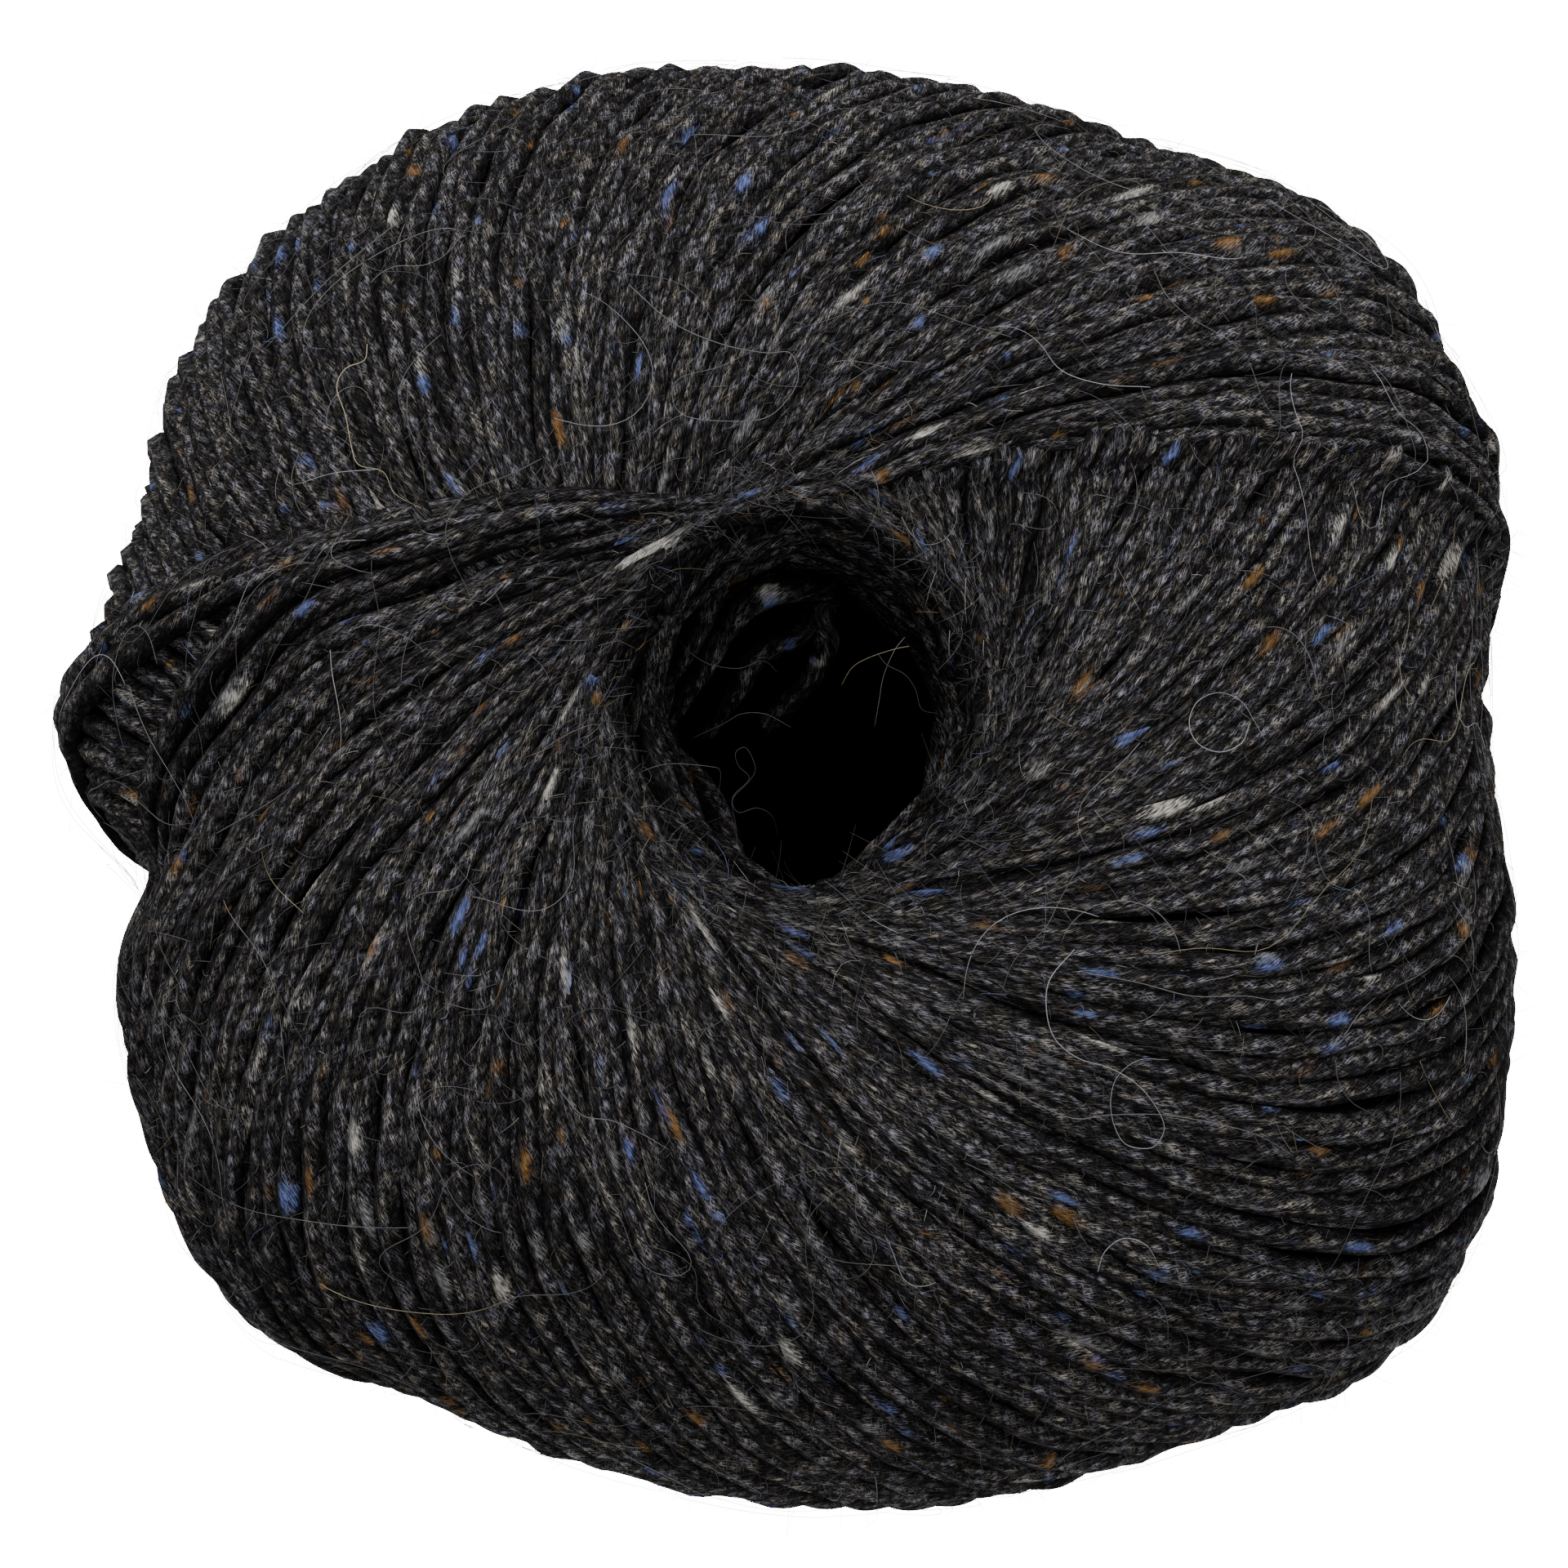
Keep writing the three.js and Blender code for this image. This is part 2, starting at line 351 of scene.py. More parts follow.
@dataclass(frozen=True)
class View:
    """The photo's view: a camera in front of the ball that looks down on its face."""

    elevation: float = 82.0
    distance: float = 0.70
    aim: tuple[float, float, float] = (0.0, 0.0, 0.033)
    search_steps: int = 12

    def towards(self) -> Array:
        """Direction from the aim to the camera."""
        tilt = math.radians(self.elevation)
        return np.array([0.0, -math.cos(tilt), math.sin(tilt)])

    def seen(self, points: Array) -> tuple[Array, Array]:
        """Where points show, as lengths to the right and up on the plane through the aim."""
        away = points - np.array(self.aim)
        back = self.towards()
        scale = self.distance / (self.distance - away @ back)
        up = np.array([0.0, back[2], -back[1]])
        return away[..., 0] * scale, (away @ up) * scale

    def found(self, wanted: Array, form: WoundForm, lift: float) -> Array:
        """Places on the form that show at wanted places: a guess, moved each time by how far off it shows.

        Args:
            wanted: Lengths to the right and up in the view, in the last axis.
            form: The wound form.
            lift: Height over the form.

        Returns:
            The places.
        """
        guess = wanted.copy()
        points = np.zeros((*wanted.shape[:-1], 3))
        for _ in range(self.search_steps):
            sine = np.linalg.norm(guess, axis=-1) / form.mean_reach
            fall = np.degrees(np.arcsin(np.clip(sine, 0.0, 1.0)))
            points = form.place(np.degrees(np.arctan2(guess[..., 1], guess[..., 0])), fall, lift)
            guess = guess + wanted - np.stack(self.seen(points), -1)
        return points


@dataclass
class MeshStack:
    """Arrays of many small closed shapes that become one mesh."""

    points: list[Array] = field(default_factory=list)
    quads: list[Array] = field(default_factory=list)
    quad_uvs: list[Array] = field(default_factory=list)
    triangles: list[Array] = field(default_factory=list)
    triangle_uvs: list[Array] = field(default_factory=list)
    tints: list[Array] = field(default_factory=list)
    count: int = 0

    def add(
        self, points: Array, quads: Array, quad_uv: Array, triangles: Array, triangle_uv: Array, tint: Array
    ) -> None:
        """Adds one array of shapes, its faces counted from its own first point."""
        self.points.append(points.reshape(-1, 3))
        self.quads.append(quads.reshape(-1, 4) + self.count)
        self.quad_uvs.append(quad_uv.reshape(-1, 2))
        self.triangles.append(triangles.reshape(-1, 3) + self.count)
        self.triangle_uvs.append(triangle_uv.reshape(-1, 2))
        self.tints.append(tint.reshape(-1, 4))
        self.count += len(self.points[-1])

    def triangle_count(self) -> int:
        """Triangles of the mesh when its quads are split."""
        return 2 * sum(map(len, self.quads)) + sum(map(len, self.triangles))

    def piece(self, name: str, material: bpy.types.Material) -> bpy.types.Object:
        """Makes the mesh object, with its UV map and its tint.

        Args:
            name: Name of the piece.
            material: Its finish.

        Returns:
            The object, linked to the scene, riding with the ball and standing for its solid.
        """
        quads, triangles = np.concatenate(self.quads), np.concatenate(self.triangles)
        points = np.concatenate(self.points).astype(np.float32)
        corners = np.concatenate([quads.ravel(), triangles.ravel()]).astype(np.int32)
        sizes = np.concatenate([np.full(len(quads), 4), np.full(len(triangles), 3)])
        starts = np.concatenate([[0], np.cumsum(sizes)[:-1]]).astype(np.int32)
        mesh = bpy.data.meshes.new(name)
        mesh.vertices.add(len(points))
        mesh.vertices.foreach_set("co", points.ravel())
        mesh.loops.add(len(corners))
        mesh.loops.foreach_set("vertex_index", corners)
        mesh.polygons.add(len(starts))
        mesh.polygons.foreach_set("loop_start", starts)
        mesh.update(calc_edges=True)
        mesh.polygons.foreach_set("use_smooth", np.ones(len(starts), bool))
        uv = mesh.uv_layers.new(name="strand")
        uv_values = np.concatenate([*self.quad_uvs, *self.triangle_uvs]).astype(np.float32)
        uv.uv.foreach_set("vector", uv_values.ravel())
        tint = mesh.attributes.new("tint", "FLOAT_COLOR", "POINT")
        tint.data.foreach_set("color", np.concatenate(self.tints).astype(np.float32).ravel())
        mesh.materials.append(material)
        made = bpy.data.objects.new(name, mesh)
        bpy.context.scene.collection.objects.link(made)
        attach(made, BODY)
        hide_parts(NODE)
        LOG.info("%s: %d triangles", name, self.triangle_count())
        return made


def tube_faces(rings: int, sides: int) -> tuple[Array, Array]:
    """Faces of a tube of rings of points with one more point at each end.

    Args:
        rings: Rings along the tube.
        sides: Points in a ring.

    Returns:
        Quads between the rings, and the triangles of the two ends.
    """
    ring = np.arange(rings - 1)[:, None] * sides
    side = np.arange(sides)[None, :]
    after = (side + 1) % sides
    quads = np.stack([ring + side, ring + after, ring + after + sides, ring + side + sides], -1)
    first, last = rings * sides, rings * sides + 1
    side, after = side[0], after[0]
    start = np.stack([np.full(sides, first), after, side], -1)
    top = (rings - 1) * sides
    end = np.stack([np.full(sides, last), top + side, top + after], -1)
    return quads.reshape(-1, 4), np.concatenate([start, end])


@dataclass(frozen=True)
class Strand:
    """The yarn's own sizes."""

    radius: float = 0.94 * MM
    sides: int = 6
    top_side: int = 3
    step: float = 0.85 * MM
    thick_and_thin: float = 0.08
    swell_waves: tuple[float, ...] = (9 * MM, 17 * MM, 41 * MM)
    slub: float = 0.10
    cap_share: float = 0.6
    pattern_length: float = 400.0

    def sweep(
        self,
        stack: MeshStack,
        path: Array,
        outward: Array,
        tint: Array,
        rng: np.random.Generator,
        slim: Array | float = 1.0,
    ) -> None:
        """Carries the strand's round section along a path and adds it to a stack.

        A ring's points are the path's point plus the radius times cos a sideways and sin a outwards.

        Args:
            stack: Where the tube goes.
            path: Points of the strand's middle line.
            outward: Outward direction at each point.
            tint: Dye at each point of each ring, with its cover as the fourth value.
            rng: Random source for thick and thin places.
            slim: Share of the full radius at each point.
        """
        rings = len(path)
        ahead = unit(np.gradient(path, axis=0))
        aside = unit(np.cross(ahead, outward))
        upward = np.cross(aside, ahead)
        lengths = np.concatenate([[0.0], np.cumsum(np.linalg.norm(np.diff(path, axis=0), axis=1))])
        swell = 1.0 + wander(lengths, rng, self.swell_waves, self.thick_and_thin)
        swell = slim * (swell + self.slub * tint[:, :, 3].max(axis=1))
        turn = (-0.5 * math.pi + FULL_TURN * np.arange(self.sides) / self.sides)[None, :, None]
        ring = np.cos(turn) * aside[:, None, :] + np.sin(turn) * upward[:, None, :]
        points = path[:, None, :] + self.radius * swell[:, None, None] * ring
        cap = self.cap_share * self.radius
        ends = np.stack([path[0] - cap * ahead[0], path[-1] + cap * ahead[-1]])
        quads, triangles = tube_faces(rings, self.sides)
        along = rng.uniform(0.0, self.pattern_length) + lengths / MM
        girth = FULL_TURN * self.radius / MM
        u = girth * np.arange(self.sides + 1) / self.sides
        u_quad = np.stack([u[:-1], u[1:], u[1:], u[:-1]], -1)[None, :, :]
        v_quad = np.stack([along[:-1], along[:-1], along[1:], along[1:]], -1)[:, None, :]
        u_quad, v_quad = np.broadcast_arrays(u_quad, v_quad)
        triangle_uv = np.zeros((2 * self.sides, 3, 2))
        triangle_uv[: self.sides, :, 1] = along[0]
        triangle_uv[self.sides :, :, 1] = along[-1]
        colours = np.concatenate([tint.reshape(-1, 4), tint[[0, -1], self.top_side]])
        stack.add(
            np.concatenate([points.reshape(-1, 3), ends]),
            quads,
            np.stack([u_quad, v_quad], -1),
            triangles,
            triangle_uv,
            colours,
        )


@dataclass(frozen=True)
class Roots:
    """Places on strands from which loose fibres grow."""

    points: Array
    ahead: Array
    outward: Array

    @classmethod
    def joined(cls, parts: list["Roots"]) -> "Roots":
        """Puts many sets of places together."""
        names = ("points", "ahead", "outward")
        return cls(*[np.concatenate([getattr(part, name) for part in parts]) for name in names])

    def kept(self, mask: Array) -> "Roots":
        """The places that a mask keeps."""
        return Roots(self.points[mask], self.ahead[mask], self.outward[mask])


@dataclass
class Stretch:
    """A laid stretch of the strand: its middle line, and how far it is covered by newer turns."""

    path: Array
    outward: Array
    covered: Array
    slim: Array
    tint: Array


@dataclass(frozen=True)
class Dye:
    """Random flecks of one wool: their share, how long half of one is, and how strongly it covers."""

    wool: Wool
    share: float
    half_length: tuple[float, float]
    strength: tuple[float, float]


DYES: tuple[Dye, ...] = (
    Dye(Wool.RUST, 0.32, (0.4 * MM, 1.5 * MM), (0.18, 0.88)),
    Dye(Wool.BLUE, 0.26, (0.4 * MM, 1.5 * MM), (0.18, 0.88)),
    Dye(Wool.CREAM, 0.18, (0.8 * MM, 2.6 * MM), (0.18, 0.76)),
    Dye(Wool.GREY, 0.24, (0.8 * MM, 2.6 * MM), (0.18, 0.76)),
)


@dataclass
class Winding:
    """All the turns of the strand that show, laid over the wound form."""

    form: WoundForm
    strand: Strand
    flecks: tuple[Fleck, ...]
    view: View
    under_strand: Strand = Strand(sides=4, top_side=2, step=1.7 * MM)
    under_late: float = 0.5
    under_drop: float = 0.5 * MM
    under_back: float = 1.3
    turns: int = 150
    slim_share: float = 0.30
    slim_falls: tuple[float, float] = (14.0, 52.0)
    mouth_overlap: float = 9.0
    under: float = 9.0 * MM
    lead: float = 1.2 * MM
    fade: float = 5.5 * MM
    bury: float = 1.7 * MM
    seat: float = 0.70 * MM
    side_wander: float = 0.22 * MM
    side_waves: tuple[float, ...] = (17 * MM, 35 * MM, 90 * MM)
    lift_wander: float = 0.15 * MM
    lift_waves: tuple[float, ...] = (11 * MM, 23 * MM, 60 * MM)
    turn_lift: float = 0.15 * MM
    age_wander: float = 0.08
    mouth_fall: float = 13.7
    mouth_stretch: float = 0.8
    mouth_wave: float = 0.62
    mouth_waves: tuple[float, ...] = (23.0, 11.0, 6.0)
    mouth_wander: float = 0.22
    last_closeness: float = 0.76
    newest_gap: float = 0.5
    floor_share: float = 1.3
    fleck_gap: float = 6.5 * MM
    dyes: tuple[Dye, ...] = DYES
    dye_scatter: float = 1.1
    wide_chance: float = 0.12
    wide_share: float = 0.7
    least_cover: float = 0.04
    top_share: float = 0.8
    face_share: float = 0.7
    covered_cost: float = 2.0 * MM
    shown_below: float = 0.2
    pieces: int = 3
    samples: int = 1441
    fewest_samples: int = 8
    fewest_steps: int = 4
    roots: list[Roots] = field(default_factory=list)

    def stretches(
        self, age: float, mouth: float, strand: Strand, drop: float, rng: np.random.Generator
    ) -> list[Stretch]:
        """Lays the shown stretches of one turn.

        The turn is walked by t, from the underside up its clockwise half, past its touching point at t = 0,
        and down its anticlockwise half. Its fall has the cosine cos mouth times cos t. A half is covered
        where it has passed the last turn's other half, and runs on a little way under there.

        Args:
            age: How long before the last turn it was wound, as the winder's angle.
            mouth: Fall of the circle that it touches.
            strand: The strand to lay.
            drop: How far under the shown turns it lies.
            rng: Random source.

        Returns:
            The stretches.
        """
        t = np.linspace(-math.pi, math.pi, self.samples)
        fall = np.degrees(np.arccos(np.clip(math.cos(math.radians(mouth)) * np.cos(t), -1.0, 1.0)))
        left = t >= 0.0
        left_lag = self.form.turn_lag(Side.ANTICLOCKWISE, age, fall, mouth)
        right_lag = self.form.turn_lag(Side.CLOCKWISE, age, fall, mouth)
        direction = self.form.newest_turn + age + np.where(left, left_lag, -right_lag)
        last_lag = self.form.lag_at(np.maximum(fall, self.form.mouth_fall))
        left_past = age + left_lag - (CIRCLE - last_lag)
        right_past = age - right_lag - last_lag
        ring = np.radians(1.0) * self.form.mean_reach * np.sin(np.radians(fall))
        past = ring * np.where(left, left_past, right_past)
        pocket = self.form.pocket.at(fall) * ring
        room = self.under + np.where(left, 0.0, pocket)
        near_mouth = np.where(left, 0.0, right_lag / self.mouth_overlap)
        covered = np.where(left, 1.0, smooth(near_mouth)) * smooth((past + self.lead) / self.fade)
        laid = (past < room) | (~left & (near_mouth < 1.0))
        edges = np.flatnonzero(np.diff(np.concatenate([[False], laid, [False]]).astype(int)))
        made = []
        for start, end in edges.reshape(-1, 2):
            run = slice(start, end)
            if end - start > self.fewest_samples:
                rows = np.stack([t[run], direction[run], fall[run], covered[run]])
                made.append(self.laid(rows, strand, drop, rng))
        return made

    def laid(self, rows: Array, strand: Strand, drop: float, rng: np.random.Generator) -> Stretch:
        """Walks one stretch in even steps and moves it sideways and outwards by soft random curves."""
        base = self.form.place(rows[1], rows[2], 0.0)
        length = np.concatenate([[0.0], np.cumsum(np.linalg.norm(np.diff(base, axis=0), axis=1))])
        steps = max(self.fewest_steps, int(length[-1] / strand.step))
        even = np.linspace(0.0, length[-1], steps)
        walked = np.interp(even, length, rows[0])
        direction, fall, covered = (np.interp(walked, rows[0], row) for row in rows[1:])
        low, high = self.slim_falls
        slim = 1.0 - self.slim_share * (1.0 - smooth((fall - low) / (high - low)))
        lift = self.seat - slim * strand.radius - self.bury * covered - drop + rng.normal(0.0, self.turn_lift)
        lift = lift + wander(even, rng, self.lift_waves, self.lift_wander)
        path = self.form.place(direction, fall, lift)
        outward = self.form.outward(path)
        aside = unit(np.cross(np.gradient(path, axis=0), outward))
        path = path + aside * wander(even, rng, self.side_waves, self.side_wander)[:, None]
        path[:, 2] = np.maximum(path[:, 2], self.floor_share * strand.radius)
        return Stretch(path, outward, covered, slim, self.dye(steps, strand, rng))

    def dye(self, steps: int, strand: Strand, rng: np.random.Generator) -> Array:
        """Random thin flecks along a stretch: colour at each point, with its cover as the fourth value."""
        sides = strand.sides
        tint = np.zeros((steps, sides, 4))
        shares = [dye.share for dye in self.dyes]
        for _ in range(rng.poisson(steps * strand.step / self.fleck_gap)):
            middle = rng.uniform(0, steps)
            dye = self.dyes[rng.choice(len(self.dyes), p=shares)]
            half = rng.uniform(*dye.half_length) / strand.step
            side = (strand.top_side + round(rng.normal(0.0, self.dye_scatter))) % sides
            wide = rng.random() < self.wide_chance
            cover = rng.uniform(*dye.strength) * np.exp(-(((np.arange(steps) - middle) / half) ** 2))
            self.stain(tint, side, dye.wool.value, cover)
            if wide:
                self.stain(tint, (side + 1) % sides, dye.wool.value, self.wide_share * cover)
        return tint

    def stain(self, tint: Array, side: int, colour: tuple[float, float, float], cover: Array) -> None:
        """Dyes one side of the strand where the new cover is stronger than what is there."""
        stronger = cover > np.maximum(tint[:, side, 3], self.least_cover)
        tint[stronger, side, :3] = colour
        tint[stronger, side, 3] = cover[stronger]

    def layer(
        self, strand: Strand, late: float, drop: float, back: float, rng: np.random.Generator
    ) -> list[Stretch]:
        """Lays one layer of turns.

        Args:
            strand: The strand to lay.
            late: Share of a turn's step that the layer is turned by.
            drop: How far under the shown turns it lies.
            back: How many degrees further out it turns round at the mouth.
            rng: Random source.

        Returns:
            Its stretches.
        """
        laid: list[Stretch] = []
        waves = wander(np.arange(self.turns) * 1.0, rng, self.mouth_waves, self.mouth_wave)
        for number in range(self.turns):
            age = (number + late + rng.normal(0.0, self.age_wander)) * CIRCLE / self.turns
            age = min(max(age, 0.0), CIRCLE - self.newest_gap)
            start = math.radians(self.form.newest_turn + age)
            mouth = self.mouth_fall + back - self.mouth_stretch * math.cos(2.0 * start)
            uneven = waves[number] + rng.normal(0.0, self.mouth_wander)
            if age < self.form.last_count_age:
                age = self.last_closeness * age
            else:
                mouth = mouth + uneven
            laid.extend(self.stretches(age, mouth, strand, drop, rng))
        return laid

    def build(self, material: bpy.types.Material) -> None:
        """Lays the shown turns and those that fill the gaps under them, and makes the pieces."""
        rng = np.random.default_rng(SEED)
        laid = self.layer(self.strand, 0.0, 0.0, 0.0, rng)
        self.place_flecks(laid, self.flecks)
        ends = np.cumsum([len(stretch.path) for stretch in laid])
        shares = self.pieces * (ends - 1) // ends[-1]
        for number in range(self.pieces):
            stack = MeshStack()
            for stretch in [laid[index] for index in np.flatnonzero(shares == number)]:
                self.strand.sweep(stack, stretch.path, stretch.outward, stretch.tint, rng, stretch.slim)
                roots = Roots(stretch.path, unit(np.gradient(stretch.path, axis=0)), stretch.outward)
                self.roots.append(roots.kept(stretch.covered < self.shown_below))
            stack.piece(f"turns_{number + 1}", material)
        stack = MeshStack()
        under = self.layer(self.under_strand, self.under_late, self.under_drop, self.under_back, rng)
        for stretch in under:
            self.under_strand.sweep(stack, stretch.path, stretch.outward, stretch.tint, rng, stretch.slim)
        stack.piece("under_turns", material)

    def place_flecks(self, laid: list[Stretch], flecks: tuple[Fleck, ...]) -> None:
        """Dyes the strand nearest to the viewer at each named fleck's place, along the strand."""
        top = self.strand.top_side
        for fleck in flecks:
            best, best_score = None, math.inf
            for stretch in laid:
                path = stretch.path
                right, up = self.view.seen(path)
                below = np.where(path[:, 2] < self.form.middle_height * self.face_share, 1.0, 0.0)
                nearer = self.top_share * (path @ self.view.towards())
                off = np.hypot(right - fleck.x, up - fleck.y)
                score = off + self.covered_cost * stretch.covered + below - nearer
                if score.min() < best_score:
                    best, best_score = (stretch, int(score.argmin())), score.min()
            stretch, step = best
            away = np.linalg.norm(stretch.path - stretch.path[step], axis=1)
            cover = fleck.strength * np.exp(-((away / (0.5 * fleck.length)) ** 3))
            for side in range(top - fleck.spread, top + fleck.spread + 1):
                self.stain(stretch.tint, side, fleck.wool.value, cover)


FLECK_ROWS: tuple[tuple[Wool, int, Route], ...] = (
    (Wool.BLUE, 0, (
        (-21.5, -8.9, 3.0), (-10.1, 28.8, 2.0), (-2.8, 41.1, 2.0), (10.6, 36.3, 1.8), (15.9, 21.7, 2.0),
        (-33.0, 12.3, 2.0), (38.0, -15.7, 2.0),
    )),
    (Wool.RUST, 0, (
        (-15.7, 24.6, 3.0), (-3.1, 18.3, 3.2), (5.8, 35.8, 2.4), (30.4, 36.9, 2.2), (-6.7, -23.5, 2.6),
        (40.5, -0.8, 3.0), (-25.7, -39.1, 2.4), (31.8, 14.5, 2.4),
    )),
    (Wool.CREAM, 2, (
        (-9.5, 15.7, 4.2),
    )),
    (Wool.CREAM, 0, (
        (-16.2, 0.0, 2.6), (14.8, 41.3, 2.2), (42.5, 15.9, 2.0), (17.3, -31.3, 2.0),
        (-29.9, -24.6, 2.2),
    )),
)

FLECKS: tuple[Fleck, ...] = tuple(
    Fleck(x * MM, y * MM, length * MM, wool, spread)
    for wool, spread, rows in FLECK_ROWS
    for x, y, length in rows
)


@dataclass
class InnerWinding:
    """The winding under the shown turns, dark with painted shade: a closed ridged body with the hollow in it.
    """

    form: WoundForm
    depth: float = 2.0 * MM
    directions: int = 216
    falls: int = 96
    first_fall: float = 0.5
    last_fall: float = 172.0
    ridge: float = 0.5 * MM
    ridge_sink: float = 0.6
    ridges: int = 72
    ripple: float = 0.02
    ripples: tuple[float, float] = (19.0, 40.0)
    wall_radius: float = 13.4 * MM
    floor_radius: float = 9.4 * MM
    stretch: tuple[float, float] = (0.94, 1.12)
    floor_height: float = 18.0 * MM
    wall_steps: int = 20
    clear: float = 1.2 * MM

    def build(self, material: bpy.types.Material) -> None:
        """Makes the body as one grid of direction by fall.

        Outside the mouth a row is a ring of the wound form, sunk by the depth, with ridges that cross the
        shown turns. Inside it rows go down the hollow's wall as rings whose radius shrinks evenly.
        """
        turn = np.arange(self.directions) * CIRCLE / self.directions
        fall = np.linspace(self.form.mouth_fall + self.first_fall, self.last_fall, self.falls)
        direction, fall_grid = np.meshgrid(turn, fall)
        wave = np.radians((direction + self.form.lag_at(fall_grid)) * self.ridges)
        ridge = self.ridge * (np.abs(np.sin(0.5 * wave)) - self.ridge_sink)
        outer = self.form.place(direction, fall_grid, ridge - self.depth, self.clear)
        down = np.linspace(0.0, 1.0, self.wall_steps)[:, None]
        radius = self.wall_radius + (self.floor_radius - self.wall_radius) * down
        turn_row = np.radians(turn)[None, :]
        rim_height = outer[0][None, :, 2] - self.clear
        height = rim_height + (self.floor_height - rim_height) * down
        round_it, down_it = self.ripples
        ripple = radius * (1.0 + self.ripple * np.sin(round_it * turn_row + down_it * down))
        axis = self.form.axis()
        wall = np.stack(
            [
                ripple * np.cos(turn_row) * self.stretch[0] + axis[0],
                ripple * np.sin(turn_row) * self.stretch[1] + axis[1],
                height,
            ],
            -1,
        )
        grid = np.concatenate([wall[::-1], outer])
        rows, sides = grid.shape[:2]
        quads, triangles = tube_faces(rows, sides)
        ends = np.array([[*axis, self.floor_height - self.clear], [*axis, self.clear]])
        points = np.concatenate([grid.reshape(-1, 3), ends])
        across = np.broadcast_to(direction[0] * self.ridge_scale(), (rows, sides))
        place = np.stack([across, np.broadcast_to(np.arange(rows)[:, None] * 1.0, (rows, sides))], -1)
        place = np.concatenate([place.reshape(-1, 2), np.zeros((2, 2))])
        stack = MeshStack()
        stack.add(points, quads, place[quads], triangles, place[triangles], np.zeros((len(points), 4)))
        stack.piece("inner_winding", material)

    def ridge_scale(self) -> float:
        """Millimetres of the wall pattern for each degree of direction."""
        return math.radians(self.form.mean_reach / MM)


def curve_through(points: Array, steps: int) -> Array:
    """Smooth curve through a few points, as Catmull-Rom spans of equal numbers of steps."""
    rows = np.concatenate([[2 * points[0] - points[1]], points, [2 * points[-1] - points[-2]]])
    t = np.linspace(0.0, 1.0, steps, endpoint=False)[:, None]
    spans = []
    for before, start, end, after in zip(rows, rows[1:], rows[2:], rows[3:]):
        spans.append(
            start
            + 0.5 * t * (end - before)
            + t**2 * (before - 2.5 * start + 2.0 * end - 0.5 * after)
            + t**3 * (1.5 * (start - end) + 0.5 * (after - before))
        )
    return np.concatenate([*spans, points[-1:]])


@dataclass
class HollowTurns:
    """Turns that line the hollow, level after level down its wall, and loops that hang loose in it."""

    form: WoundForm
    strand: Strand
    winding: Winding
    levels: int = 8
    pitch: float = 1.8 * MM
    chords: int = 11
    half_span: float = 38.0
    first_height: float = 60.0 * MM
    radius: float = 11.4 * MM
    stretch: tuple[float, float] = (0.94, 1.12)
    taper: float = 0.10
    level_turn: float = 0.37
    scatter: float = 0.2
    level_scatter: float = 0.3
    touch_scatter: float = 0.3 * MM
    tilt: float = 1.1 * MM
    end_drop: float = 0.35
    chord_steps: int = 18
    loop_steps: int = 8
    lean_up: float = 0.6

    def build(self, material: bpy.types.Material) -> None:
        """Lays straight chords that just touch the hollow's circle, each level turned from the last."""
        rng = np.random.default_rng(SEED + 1)
        stack = MeshStack()
        step = np.linspace(-self.half_span, self.half_span, self.chord_steps)
        axis = self.form.axis()
        for level in range(self.levels):
            for chord in range(self.chords):
                round_it = level * self.level_turn
                middle = (chord + round_it + rng.uniform(-self.scatter, self.scatter)) * CIRCLE / self.chords
                touch = self.radius - self.taper * level * self.pitch + rng.normal(0.0, self.touch_scatter)
                out = touch / np.cos(np.radians(step))
                tilt = rng.normal(0.0, self.tilt) * step / self.half_span
                down = level + rng.uniform(-self.level_scatter, self.level_scatter)
                height = self.first_height - self.pitch * down + tilt - self.end_drop * (out - touch)
                turn = np.radians(middle + step)
                right = out * np.cos(turn) * self.stretch[0] + axis[0]
                back = out * np.sin(turn) * self.stretch[1] + axis[1]
                self.lay(stack, self.laid(np.stack([right, back, height], -1), rng), rng)
        routes = [curve_through(np.array(route) * MM, self.loop_steps) for route in HOLLOW_LOOPS]
        loops = [self.laid(route, rng) for route in routes]
        self.winding.place_flecks(loops, HOLLOW_FLECKS)
        for loop in loops:
            self.lay(stack, loop, rng)
        stack.piece("hollow_turns", material)

    def laid(self, path: Array, rng: np.random.Generator) -> Stretch:
        """A dyed stretch along a path in the hollow, its top side towards the hollow's axis."""
        inward = np.array([*self.form.axis(), 0.0]) - path
        inward[:, 2] = self.lean_up * self.radius
        steps = len(path)
        tint = self.winding.dye(steps, self.strand, rng)
        return Stretch(path, unit(inward), np.zeros(steps), np.ones(steps), tint)

    def lay(self, stack: MeshStack, stretch: Stretch, rng: np.random.Generator) -> None:
        """Sweeps the strand along a stretch."""
        self.strand.sweep(stack, stretch.path, stretch.outward, stretch.tint, rng)


